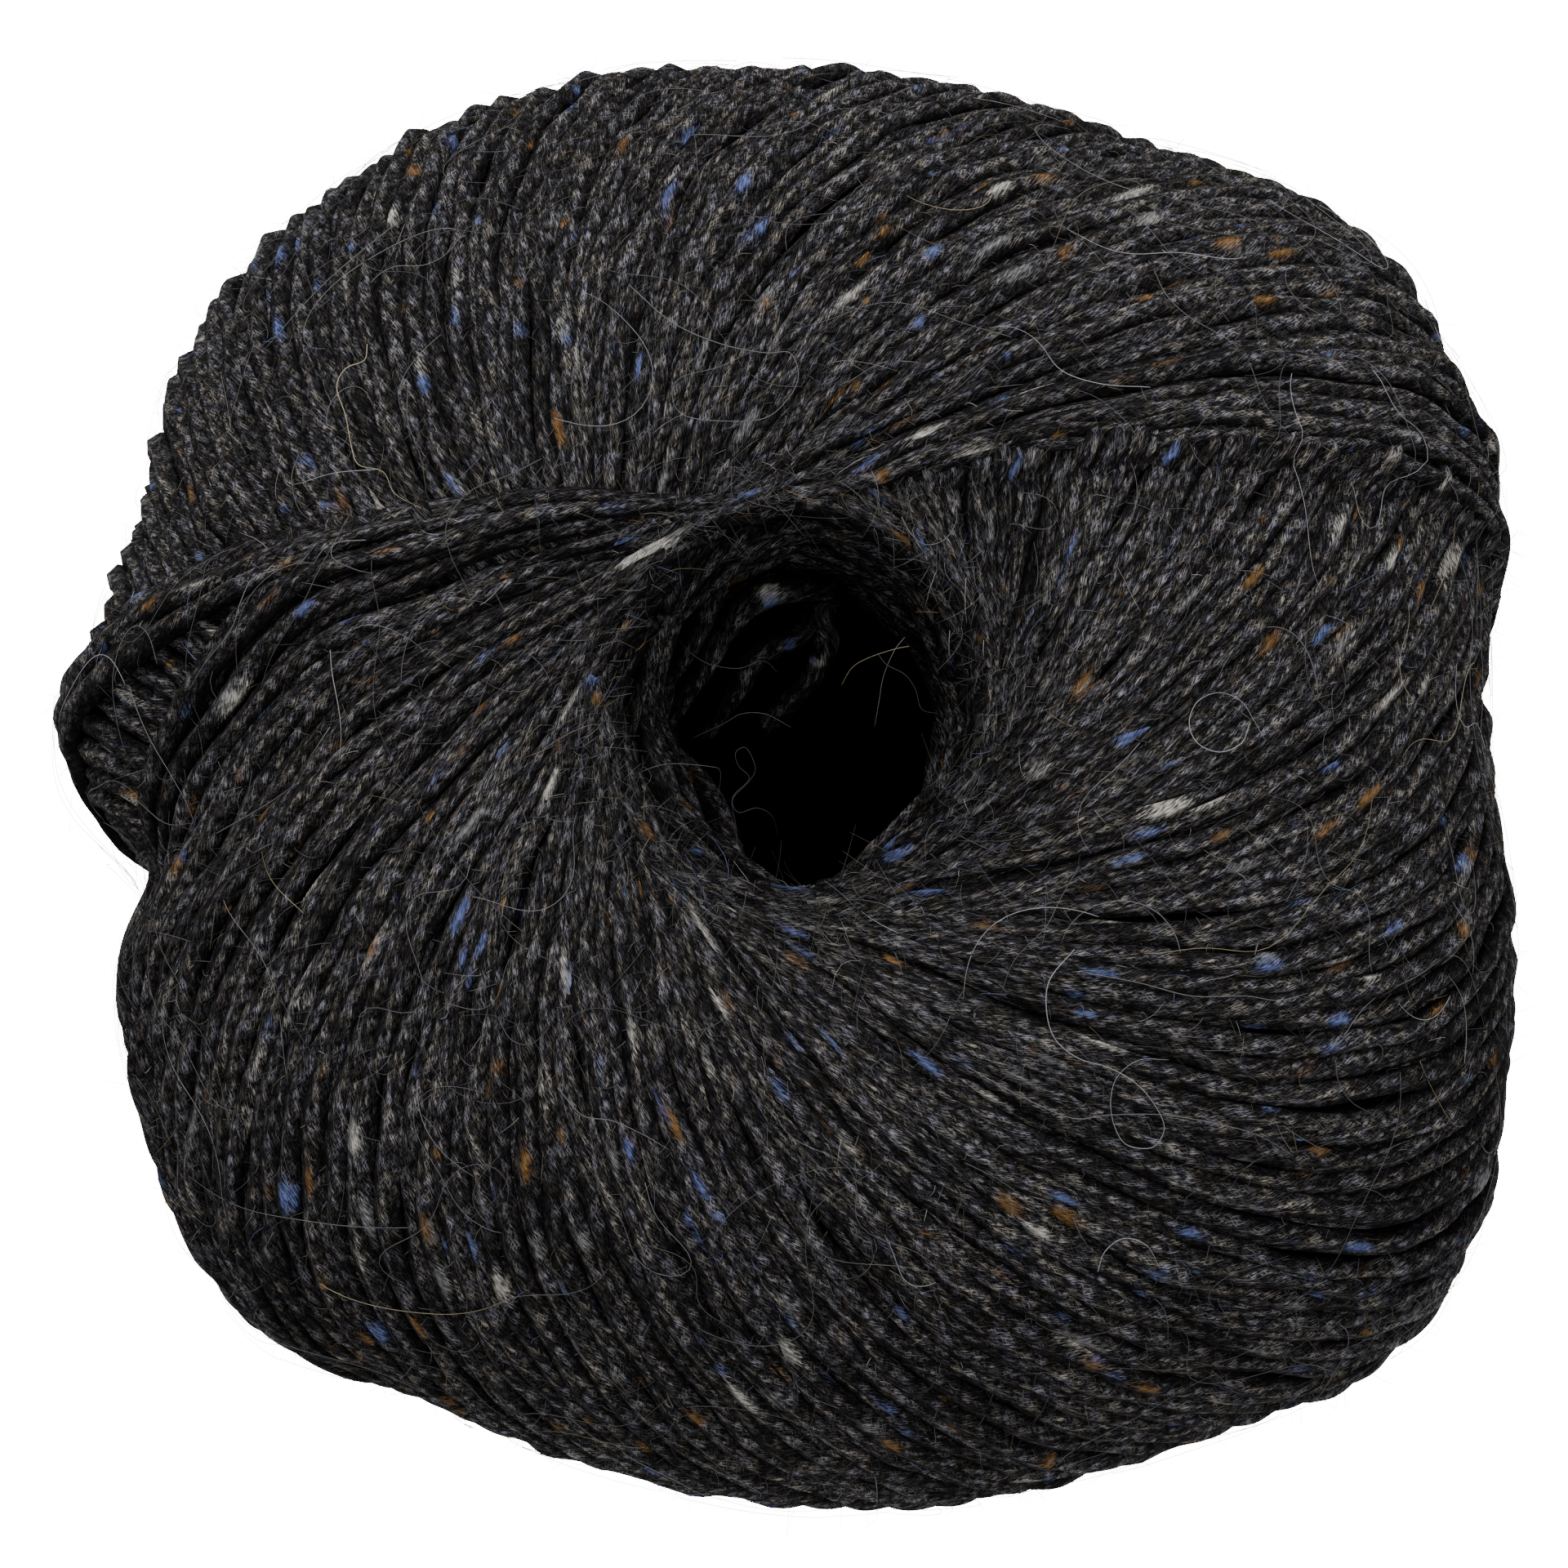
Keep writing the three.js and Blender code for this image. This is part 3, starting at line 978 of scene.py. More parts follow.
HOLLOW_LOOPS: tuple[Route, ...] = (
    (
        (-7.6, 2.6, 50), (-5.4, 5.0, 53), (-4.2, 7.2, 54), (-2.4, 9.2, 54.5), (-0.2, 10.2, 54),
        (3.0, 10.8, 51),
    ),
    ((-5.4, 1.8, 47), (-3.2, 3.9, 51), (-2.2, 5.6, 52), (-0.6, 6.8, 52), (1.0, 7.6, 52), (2.2, 9.8, 50)),
    (
        (3.6, 11.0, 49), (2.6, 9.2, 51), (2.9, 7.4, 51), (2.3, 5.5, 50.5), (1.0, 4.0, 49.5),
        (-1.2, 2.2, 47),
    ),
    ((-8.6, 4.2, 52), (-6.6, 5.9, 55), (-5.4, 8.2, 55.5), (-4.6, 11.0, 54)),
    ((-10.6, -3.4, 57), (-8.4, -6.3, 59.2), (-5.4, -9.0, 60), (-1.6, -12.0, 58), (1.0, -14.2, 55)),
    ((-9.8, -1.2, 55), (-7.3, -4.9, 56.5), (-4.2, -8.0, 57.5), (-0.8, -10.8, 56), (1.8, -13.6, 53)),
    ((13.4, -2.6, 58), (10.3, -6.1, 59.8), (6.9, -8.9, 60.3), (3.0, -12.4, 58), (-0.2, -14.6, 55)),
    ((13.0, 0.2, 56), (10.2, -4.0, 57.5), (6.8, -7.6, 58), (3.4, -10.8, 56), (-0.4, -13.8, 53)),
    ((12.8, 3.6, 57), (11.9, 6.4, 58.6), (9.6, 9.4, 59), (6.4, 12.6, 57)),
    (
        (-9.5, 1.5, 52), (-7.2, -0.6, 49), (-5.0, -3.2, 48), (-3.8, -6.2, 50), (-3.2, -9.6, 54),
        (-2.6, -13.4, 53),
    ),
    (
        (-10.0, 4.0, 55), (-8.6, 1.0, 53), (-7.2, -2.0, 52.5), (-6.2, -5.0, 54), (-5.4, -8.4, 57),
        (-4.6, -12.6, 55),
    ),
)

HOLLOW_FLECKS: tuple[Fleck, ...] = (
    Fleck(-1.5 * MM, 13.1 * MM, 1.0 * MM, Wool.BLUE),
    Fleck(0.3 * MM, 9.9 * MM, 0.7 * MM, Wool.BLUE),
)

HOLLOW_HAIRS: tuple[Route, ...] = (
    (
        (-0.4, -6.9, 57), (-0.8, -5.8, 59), (-1.8, -5.4, 60), (-3.0, -5.7, 60), (-3.4, -4.8, 60),
        (-2.3, -3.6, 60), (-1.9, -2.7, 60), (-2.5, -1.4, 60), (-3.2, -1.7, 60), (-3.0, -2.6, 60),
        (-2.3, -3.5, 60.4), (-3.4, -4.8, 60.6), (-3.2, -6.5, 60.5), (-3.0, -8.3, 61), (-2.3, -9.0, 61.5),
        (-1.9, -8.2, 61.5),
    ),
    ((-6.2, -0.2, 56), (-4.0, 0.4, 59), (-2.8, 0.9, 60), (-1.2, 0.8, 60.5), (0.5, -0.1, 60.5)),
    ((8.3, 5.2, 61.5), (7.3, 5.0, 61.5), (5.6, 4.5, 61), (4.5, 3.9, 60.5), (3.8, 2.8, 60)),
    ((8.0, 5.8, 61.5), (7.3, 4.9, 61.5), (6.6, 3.3, 61), (6.3, 1.7, 60.5), (6.0, 0.0, 60)),
    (
        (6.2, 4.8, 61), (6.8, 4.0, 61.3), (8.0, 3.3, 61.5), (8.7, 2.3, 61.5), (9.1, 1.0, 61.5),
        (10.2, 0.6, 62),
    ),
    (
        (-10.4, -3.9, 62), (-9.1, -3.2, 62.5), (-7.5, -2.8, 62.5), (-5.0, -2.9, 62), (-4.2, -3.2, 61.5),
        (-4.4, -4.8, 60),
    ),
    (
        (-7.2, 6.6, 57), (-6.4, 5.4, 58.5), (-5.0, 4.4, 59), (-3.0, 4.1, 59), (-1.4, 4.6, 59),
        (-0.4, 3.9, 58.5),
    ),
)


@dataclass(frozen=True)
class FibreKind:
    """A kind of loose fibre: its sizes, how it leaves the strand, how it curls and how many grow."""

    length: tuple[float, float]
    thickness: float
    steps: int
    lean: tuple[float, float]
    curl: float
    count: int


@dataclass
class Threads:
    """Makes thin closed threads of three sides."""

    sides: int = 3
    steep: float = 0.9
    taper: float = 0.55

    def add(self, stack: MeshStack, path: Array, thickness: float, colours: Array) -> None:
        """Turns many paths of the same number of points into closed tapered threads.

        Args:
            stack: Where the threads go.
            path: Points, one row of them for each thread.
            thickness: Width at the root.
            colours: One colour for each thread.
        """
        count, steps = path.shape[:2]
        ahead = unit(np.gradient(path, axis=1))
        helper = np.where(np.abs(ahead[..., 2:]) > self.steep, [[[1.0, 0.0, 0.0]]], [[[0.0, 0.0, 1.0]]])
        aside = unit(np.cross(ahead, helper))
        upward = np.cross(aside, ahead)
        share = np.linspace(0.0, 1.0, steps)
        radius = 0.5 * thickness * (1.0 - self.taper * share**2)
        turn = (FULL_TURN * np.arange(self.sides) / self.sides)[None, None, :, None]
        ring = np.cos(turn) * aside[:, :, None, :] + np.sin(turn) * upward[:, :, None, :]
        points = path[:, :, None, :] + radius[None, :, None, None] * ring
        first = (np.arange(count) * steps * self.sides)[:, None, None]
        ring_start = (np.arange(steps - 1) * self.sides)[None, :, None]
        side = np.arange(self.sides)[None, None, :]
        after = (side + 1) % self.sides
        low, high = first + ring_start, first + ring_start + self.sides
        quads = np.stack([low + side, low + after, high + after, high + side], -1).reshape(-1, 4)
        start = first[:, :, 0] + np.array([[2, 1, 0]])
        end = first[:, :, 0] + (steps - 1) * self.sides + np.array([[0, 1, 2]])
        triangles = np.concatenate([start, end])
        tint = np.repeat(np.concatenate([colours, np.ones((count, 1))], axis=1), steps * self.sides, axis=0)
        quad_uv, triangle_uv = np.zeros((len(quads), 4, 2)), np.zeros((len(triangles), 3, 2))
        stack.add(points, quads, quad_uv, triangles, triangle_uv, tint)


@dataclass(frozen=True)
class FibreColours:
    """Colours of loose fibres, each with its share, and how much lighter or darker a fibre may be."""

    colours: tuple[tuple[float, float, float], ...] = (
        (0.015, 0.015, 0.017),
        (0.045, 0.045, 0.047),
        (0.105, 0.105, 0.113),
        (0.105, 0.092, 0.063),
        (0.070, 0.090, 0.200),
        (0.190, 0.100, 0.030),
        (0.260, 0.250, 0.230),
    )
    shares: tuple[float, ...] = (0.18, 0.32, 0.30, 0.13, 0.02, 0.01, 0.04)
    vary: tuple[float, float] = (0.7, 1.35)

    def pick(self, count: int, rng: np.random.Generator) -> Array:
        """Random colours, each a little lighter or darker."""
        picks = rng.choice(len(self.colours), count, p=self.shares)
        return np.array(self.colours)[picks] * rng.uniform(*self.vary, (count, 1))


FUZZ: dict[str, FibreKind] = {
    "lying_fuzz": FibreKind((0.8 * MM, 2.8 * MM), 0.036 * MM, 5, (-3.0, 18.0), 0.28, 7000),
    "standing_fuzz": FibreKind((0.7 * MM, 2.0 * MM), 0.042 * MM, 4, (20.0, 70.0), 0.22, 6000),
}

RIM_FUZZ: dict[str, FibreKind] = {
    "rim_fuzz": FibreKind((0.7 * MM, 2.3 * MM), 0.034 * MM, 7, (0.0, 60.0), 0.55, 800),
}

RIM_REACH = 15.5 * MM

# Painted shade: the fibres round the mouth take only dark and mid greys, darker than the other loose fibres,
# so the rim reads darker towards the hollow.
RIM_SHADED_COLOURS = FibreColours(
    ((0.02, 0.02, 0.021), (0.045, 0.044, 0.047), (0.10, 0.10, 0.105)),
    (0.45, 0.40, 0.15),
)

HAIR_COLOURS = FibreColours(
    (
        (0.045, 0.045, 0.047),
        (0.08, 0.08, 0.083),
        (0.13, 0.13, 0.137),
        (0.24, 0.24, 0.25),
        (0.20, 0.17, 0.10),
    ),
    (0.26, 0.40, 0.22, 0.07, 0.05),
)


@dataclass
class Halo:
    """The wool's short loose fibres."""

    kinds: dict[str, FibreKind]
    threads: Threads
    colours: FibreColours
    strand: Strand
    flipped: float = 0.5
    round_reach: float = 1.2
    root_share: float = 0.9
    swing: tuple[float, float] = (30.0, 28.0)
    droop: float = 0.55
    lowest: float = 0.1 * MM

    def grow(self, stack: MeshStack, roots: Roots, kind: FibreKind, rng: np.random.Generator) -> None:
        """Grows fibres of one kind.

        A fibre's point at share s is its root plus length times (direction times s, plus a bend times s
        squared, plus a second bend times s cubed).

        Args:
            stack: Where the fibres go.
            roots: Places to grow from.
            kind: Sizes, curl and number.
            rng: Random source.
        """
        count = kind.count
        pick = rng.integers(0, len(roots.points), count)
        ahead, outward = roots.ahead[pick], roots.outward[pick]
        aside = np.cross(ahead, outward)
        flip = np.where(rng.random(count) < self.flipped, -1.0, 1.0)[:, None]
        around = rng.uniform(-self.round_reach, self.round_reach, count)[:, None]
        up = np.cos(around) * outward + np.sin(around) * aside
        root = roots.points[pick] + self.root_share * self.strand.radius * up
        lean = np.radians(rng.uniform(*kind.lean, count))[:, None]
        swing = np.radians(rng.normal(*self.swing, count))[:, None]
        level = np.cos(swing) * ahead * flip + np.sin(swing) * aside * flip
        heading = np.cos(lean) * level + np.sin(lean) * up
        bend = rng.normal(0.0, kind.curl, (count, 3)) - self.droop * np.sin(lean) * outward
        twist = rng.normal(0.0, kind.curl, (count, 3))
        length = rng.uniform(*kind.length, count)[:, None]
        share = np.linspace(0.0, 1.0, kind.steps)[None, :, None]
        path = root[:, None, :] + length[:, None, :] * (
            heading[:, None, :] * share + bend[:, None, :] * share**2 + twist[:, None, :] * share**3
        )
        path[..., 2] = np.maximum(path[..., 2], self.lowest)
        self.threads.add(stack, path, kind.thickness, self.colours.pick(count, rng))

    def build(self, roots: Roots, material: bpy.types.Material) -> None:
        """Grows every kind as a piece of its own."""
        rng = np.random.default_rng(SEED + 2)
        for name, kind in self.kinds.items():
            stack = MeshStack()
            self.grow(stack, roots, kind, rng)
            stack.piece(name, material)


@dataclass
class LongHairs:
    """Long smooth hairs that lie over the turns in curves, and some that hang across the hollow."""

    form: WoundForm
    threads: Threads
    colours: FibreColours
    named: dict[HairShade, tuple[Route, ...]]
    view: View
    count: int = 460
    steps: int = 26
    named_steps: int = 6
    hollow_steps: int = 7
    thickness: float = 0.056 * MM
    named_thickness: float = 0.078 * MM
    bend_radius: float = 7.0 * MM
    length: tuple[float, float] = (5.0 * MM, 22.0 * MM)
    wave: tuple[float, float] = (8.0 * MM, 20.0 * MM)
    swing: float = 0.9
    first_fall: float = 3.0
    mouth_reach: float = 2.0
    lowest_fall: float = 150.0
    above: float = 0.95 * MM
    scatter: float = 0.15 * MM
    arch: float = 0.5 * MM
    named_above: float = 1.5 * MM
    lowest: float = 0.2 * MM

    def scattered(self, rng: np.random.Generator) -> Array:
        """Walks hairs over the form from random places.

        A hair's heading is its first heading plus a bend times the way along it plus a sine, and the steps
        along it are added up as a way down the form and a way round it.

        Args:
            rng: Random source.

        Returns:
            The hairs' points.
        """
        column = (self.count, 1)
        falls = (self.lowest_fall, self.form.mouth_fall + self.first_fall)
        low, top = (math.cos(math.radians(fall)) for fall in falls)
        direction = rng.uniform(0.0, CIRCLE, column)
        fall = np.degrees(np.arccos(rng.uniform(low, top, column)))
        heading = rng.uniform(0.0, FULL_TURN, column)
        bend = rng.normal(0.0, 1.0 / self.bend_radius, column)
        length = rng.uniform(*self.length, column)
        wave = rng.uniform(*self.wave, column)
        phase = rng.uniform(0.0, FULL_TURN, column)
        swing = rng.uniform(0.0, self.swing, column)
        share = np.linspace(0.0, 1.0, self.steps)[None, :]
        along = share * length
        angle = heading + bend * along + swing * np.sin(FULL_TURN * along / wave + phase)
        step = length / (self.steps - 1)
        down = np.degrees(np.cumsum(np.cos(angle) * step, axis=1) / self.form.mean_reach)
        around = np.cumsum(np.sin(angle) * step, axis=1)
        ring = self.form.mean_reach * np.sin(np.radians(fall))
        rise = rng.uniform(0.0, self.arch, column) * np.sin(math.pi * share)
        lift = self.above + rng.normal(0.0, self.scatter, column) + rise
        falls = np.maximum(fall + down, self.form.mouth_fall - self.mouth_reach)
        return self.form.place(direction + np.degrees(around / ring), falls, lift, self.lowest)

    def build(self, material: bpy.types.Material) -> None:
        """Makes the scattered hairs, those that stand out in the photo's view, and the hollow's."""
        rng = np.random.default_rng(SEED + 3)
        stack = MeshStack()
        self.threads.add(stack, self.scattered(rng), self.thickness, self.colours.pick(self.count, rng))
        for shade, routes in self.named.items():
            for route in routes:
                curve = curve_through(np.array(route) * MM, self.named_steps)
                path = self.view.found(curve, self.form, self.named_above)
                self.threads.add(stack, path[None], self.named_thickness, np.array([shade.value]))
        for route in HOLLOW_HAIRS:
            curve = curve_through(np.array(route) * MM, self.hollow_steps)
            self.threads.add(stack, curve[None], self.thickness, self.colours.pick(1, rng))
        stack.piece("long_hairs", material)


NAMED_HAIRS: dict[HairShade, tuple[Route, ...]] = {
    HairShade.LIGHT: (
        (
            (20.0, -11.4), (18.3, -13.5), (18.1, -15.7), (18.7, -17.6), (20.3, -18.9), (22.3, -19.5),
            (24.1, -20.5), (25.4, -21.9), (26.2, -23.6), (25.6, -24.9), (24.5, -25.1), (23.4, -24.7),
            (22.7, -23.4), (22.5, -21.7), (23.0, -20.1), (24.5, -19.0), (26.5, -19.0),
        ),
        ((21.6, -33.6), (22.1, -32.2), (23.4, -31.3), (25.0, -31.8), (25.9, -33.4)),
        (
            (32.1, 4.2), (31.5, 2.8), (30.0, 2.2), (28.5, 2.8), (27.9, 4.2), (28.5, 5.7), (30.0, 6.3),
            (31.5, 5.7), (32.3, 4.5), (33.1, 3.1),
        ),
    ),
    HairShade.MID: (
        (
            (12.5, -19.4), (16.1, -21.4), (19.8, -23.0), (22.3, -22.8), (26.3, -22.8), (30.7, -23.6),
            (32.9, -24.3), (35.1, -25.6),
        ),
        ((20.8, -13.0), (24.5, -13.7), (28.1, -14.6), (31.8, -14.6), (34.0, -14.9), (36.1, -14.4)),
        (
            (-10.7, 34.4), (-7.7, 31.8), (-4.3, 30.3), (-1.3, 29.7), (0.4, 29.7), (1.0, 28.2), (0.4, 26.7),
            (-1.3, 25.2), (-4.3, 25.0), (-6.9, 25.4), (-7.7, 26.7), (-7.1, 28.0), (-4.3, 28.8),
            (-1.3, 30.3),
        ),
        ((8.1, 18.4), (8.7, 17.3), (9.7, 16.5), (11.0, 16.8), (11.8, 17.9), (11.9, 19.0)),
        ((-28.8, 16.8), (-30.8, 16.6), (-31.1, 15.6), (-29.6, 14.8), (-28.3, 14.5)),
        ((-34.9, 14.8), (-36.6, 14.1), (-37.4, 12.6), (-38.1, 10.6), (-39.9, 8.3), (-40.9, 6.6)),
        ((-39.1, -3.4), (-35.8, -1.5), (-33.6, 0.0)),
        ((-7.4, -3.5), (-8.8, -3.3), (-9.6, -4.3), (-10.2, -5.7)),
        ((-15.6, -20.9), (-13.9, -22.8), (-11.8, -23.2), (-9.6, -24.2), (-7.9, -25.2)),
    ),
    HairShade.DIM: (
        ((12.5, -26.1), (14.7, -27.2), (16.5, -28.5), (18.0, -30.0)),
        ((38.0, -19.0), (38.2, -20.5), (39.1, -21.9), (40.5, -22.7)),
        ((20.3, -5.7), (19.0, -8.0), (18.0, -9.9), (15.9, -12.1), (15.0, -14.3)),
        (
            (-16.7, 22.4), (-18.9, 21.3), (-21.4, 20.3), (-22.7, 19.0), (-23.3, 17.5), (-22.9, 15.6),
            (-21.9, 13.6), (-21.4, 12.1),
        ),
        ((-25.9, 27.3), (-25.9, 25.0), (-25.0, 22.4), (-24.6, 19.8)),
        ((-33.4, 22.7), (-33.9, 21.1), (-33.4, 18.9), (-31.8, 17.6)),
        ((-44.7, -1.0), (-42.6, -2.7), (-40.7, -2.7)),
        ((-19.7, -16.1), (-18.8, -17.6), (-17.4, -17.9), (-16.2, -16.8)),
    ),
    HairShade.GOLD: (
        (
            (-28.7, 30.3), (-28.9, 29.2), (-30.2, 28.6), (-30.8, 27.3), (-30.2, 25.4), (-29.8, 23.3),
            (-29.3, 22.0), (-27.6, 21.5), (-26.8, 20.0), (-25.0, 19.0),
        ),
    ),
}


class ShaderTree:
    """One shader node tree, with short forms for its nodes."""

    def __init__(self, tree: bpy.types.ShaderNodeTree) -> None:
        self.tree = tree

    def node(self, kind: str, inputs: dict[str | int, object], **settings: object) -> bpy.types.ShaderNode:
        """Makes a node.

        Args:
            kind: The node's type, without the words ShaderNode.
            inputs: For each input the socket that feeds it, or its constant.
            settings: The node's own settings.

        Returns:
            The node.
        """
        made = self.tree.nodes.new("ShaderNode" + kind)
        for name, value in settings.items():
            setattr(made, name, value)
        for name, value in inputs.items():
            if isinstance(value, bpy.types.NodeSocket):
                self.tree.links.new(value, made.inputs[name])
            else:
                made.inputs[name].default_value = value
        return made

    def math(self, operation: str, *values: object) -> Socket:
        """Makes a math node and gives its result."""
        return self.node("Math", dict(enumerate(values)), operation=operation).outputs["Value"]

    def lifted(self, value: Socket, least: float) -> Socket:
        """Brings a value from the range 0 to 1 into the range from its least to 1."""
        return self.math("MULTIPLY_ADD", value, 1.0 - least, least)

    def vector(self, operation: str, inputs: dict[str | int, object]) -> Socket:
        """Makes a vector math node and gives its vector."""
        return self.node("VectorMath", inputs, operation=operation).outputs["Vector"]

    def turned(self, place: Socket, angle: float, scale: tuple[float, float, float]) -> Socket:
        """Turns a place about the third axis and stretches it."""
        inputs = {"Vector": place, "Angle": math.radians(angle)}
        turned = self.node("VectorRotate", inputs, rotation_type="Z_AXIS").outputs["Vector"]
        return self.vector("MULTIPLY", {0: turned, 1: scale})

    def noise(self, place: Socket, scale: float, inputs: dict[str | int, object]) -> Socket:
        """Makes a noise node and gives its value."""
        return self.node("TexNoise", {"Vector": place, "Scale": scale, **inputs}).outputs["Fac"]

    def ranged(self, value: Socket, span: Span, to: Span = (0.0, 1.0), kind: str = "SMOOTHSTEP") -> Socket:
        """Makes a map range node, soft at both ends unless its kind is another, and gives its result."""
        inputs = {"Value": value, "From Min": span[0], "From Max": span[1], "To Min": to[0], "To Max": to[1]}
        return self.node("MapRange", inputs, interpolation_type=kind).outputs["Result"]

    def mixed(self, factor: Socket, first: object, second: object) -> Socket:
        """Makes a colour mix node, with its sockets by number because they share their names."""
        return self.node("Mix", {0: factor, 6: first, 7: second}, data_type="RGBA").outputs["Result"]


@dataclass(frozen=True)
class WoolPattern:
    """The shader node group for a strand's surface, on its UV map in millimetres.

    Short light fibres lie across the strand both ways, thicker where the wool is mottled, the plies' grooves
    run round it with painted shade in them, the strand's top is lit and its sides darkened with painted
    highlight and shade, and it is darker towards the hollow with painted shade.
    """

    name: str = "wool_surface"
    girth: float = 5.9
    plies: int = 3
    ply_gap: float = 1.5
    ply_wander: float = 1.1
    # Painted shade in the plies' grooves: the least share of the light fibres left there.
    painted_groove_shade_least: float = 0.45
    fibre_scale: tuple[float, float, float] = (12.5, 1.6, 12.0)
    fibre_detail: float = 1.5
    fibre_bend: float = 0.5
    fibre_edge: float = 0.12
    fibre_least: float = 0.06
    main_fibres: Span = (26.0, 0.50)
    cross_fibres: Span = (-28.0, 0.54)
    cross_share: float = 0.8
    lock_angle: float = 17.0
    lock_scale: tuple[float, float, float] = (2.0, 0.44, 1.0)
    lock_roughness: float = 0.4
    lock_range: Span = (0.43, 0.62)
    lock_least: float = 0.20
    tone_scale: float = 0.8
    mood: tuple[float, float, float] = (0.08, 0.06, 0.0)
    mood_range: Span = (0.3, 0.7)
    mood_light: Span = (0.45, 1.55)
    # Painted highlight and shade across each strand: how sharply its top is lit, and the least share left on
    # its shaded sides.
    painted_crest_light_power: float = 5.5
    painted_valley_shade_least: float = 0.07
    ply_height: float = 0.8
    fibre_height: float = 0.7
    axis: tuple[float, float, float] = (0.0021, 0.0, 0.0)
    # Painted shade towards the hollow: within these distances from the hollow's axis the strand's colour
    # darkens inwards, down to the least share below.
    inner: Span = (9.0 * MM, 21.0 * MM)
    hollow_shade_least: float = 0.58

    def fibres(self, tree: ShaderTree, place: Socket, angle: float, start: float) -> tuple[Socket, Socket]:
        """Streaks of noise, long one way and thin the other, as how light they are and as raw noise."""
        scaled = tree.turned(place, angle, self.fibre_scale)
        noise = tree.noise(scaled, 1.0, {"Detail": self.fibre_detail, "Distortion": self.fibre_bend})
        return tree.ranged(noise, (start, start + self.fibre_edge)), noise

    def depth(self, tree: ShaderTree) -> Socket:
        """Painted shade: how light the strand is by its way from the hollow's axis, darker towards the
        hollow.
        """
        spot = tree.node("TexCoord", {}).outputs["Object"]
        spot = tree.vector("SUBTRACT", {0: spot, 1: self.axis})
        spot = tree.vector("MULTIPLY", {0: spot, 1: (1.0, 1.0, 0.0)})
        away = tree.node("VectorMath", {0: spot}, operation="LENGTH").outputs["Value"]
        return tree.ranged(away, self.inner, (self.hollow_shade_least, 1.0))

    def group(self) -> bpy.types.ShaderNodeTree:
        """Builds the group once.

        Returns:
            The group, with the input Place and the outputs Light, which holds painted crest light and valley
            shade, Tone, Streak, Height, and last the painted shade factor towards the hollow.
        """
        found = bpy.data.node_groups.get(self.name)
        if found:
            return found
        made = bpy.data.node_groups.new(self.name, "ShaderNodeTree")
        made.interface.new_socket("Place", in_out="INPUT", socket_type="NodeSocketVector")
        for name in ("Light", "Tone", "Streak", "Height", "HollowShade"):
            made.interface.new_socket(name, in_out="OUTPUT", socket_type="NodeSocketFloat")
        tree = ShaderTree(made)
        place = made.nodes.new("NodeGroupInput").outputs["Place"]
        main, streak = self.fibres(tree, place, *self.main_fibres)
        across, _ = self.fibres(tree, place, *self.cross_fibres)
        locks = tree.turned(place, self.lock_angle, self.lock_scale)
        mottle = tree.noise(locks, 1.0, {"Detail": 1.0, "Roughness": self.lock_roughness})
        patch = tree.ranged(mottle, self.lock_range)
        winding = (self.plies / self.girth, 1.0 / self.ply_gap, 0.0)
        phase = tree.node("VectorMath", {0: place, 1: winding}, operation="DOT_PRODUCT").outputs["Value"]
        phase = tree.math("MULTIPLY_ADD", mottle, self.ply_wander, phase)
        ply = tree.math("ABSOLUTE", tree.math("SINE", tree.math("MULTIPLY", phase, math.pi)))
        both = tree.math("MAXIMUM", main, tree.math("MULTIPLY", across, self.cross_share))
        both = tree.lifted(both, self.fibre_least)
        light = tree.math("MULTIPLY", both, tree.lifted(patch, self.lock_least))
        # Painted shade: the light fibres are darkened in the plies' grooves.
        light = tree.math("MULTIPLY", light, tree.lifted(ply, self.painted_groove_shade_least))
        slow = tree.noise(tree.vector("MULTIPLY", {0: place, 1: self.mood}), 1.0, {"Detail": 1.0})
        mood = tree.ranged(slow, self.mood_range, self.mood_light, "LINEAR")
        light = tree.math("MULTIPLY", light, mood)
        # Painted highlight and shade: the light fibres are brightest on the strand's top and fade to the
        # least share on its sides and in the valleys between strands.
        girthwise = tree.node("SeparateXYZ", {"Vector": place}).outputs["X"]
        around = tree.math("COSINE", tree.math("MULTIPLY", girthwise, FULL_TURN / self.girth))
        painted_crest_light = tree.math("POWER", tree.math("MULTIPLY_ADD", around, -0.5, 0.5), self.painted_crest_light_power)
        height = tree.math("MULTIPLY", streak, self.fibre_height)
        values = {
            "Light": tree.math("MULTIPLY", light, tree.lifted(painted_crest_light, self.painted_valley_shade_least)),
            "Tone": tree.noise(place, self.tone_scale, {"Detail": 1.0}),
            "Streak": streak,
            "Height": tree.math("MULTIPLY_ADD", ply, self.ply_height, height),
            "HollowShade": self.depth(tree),
        }
        result = made.nodes.new("NodeGroupOutput")
        for name, value in values.items():
            made.links.new(value, result.inputs[name])
        return made


def empty_material(name: str) -> tuple[bpy.types.Material, ShaderTree]:
    """Makes a material whose node tree has no nodes yet."""
    made = bpy.data.materials.new(name)
    made.use_nodes = True
    made.node_tree.nodes.clear()
    return made, ShaderTree(made.node_tree)


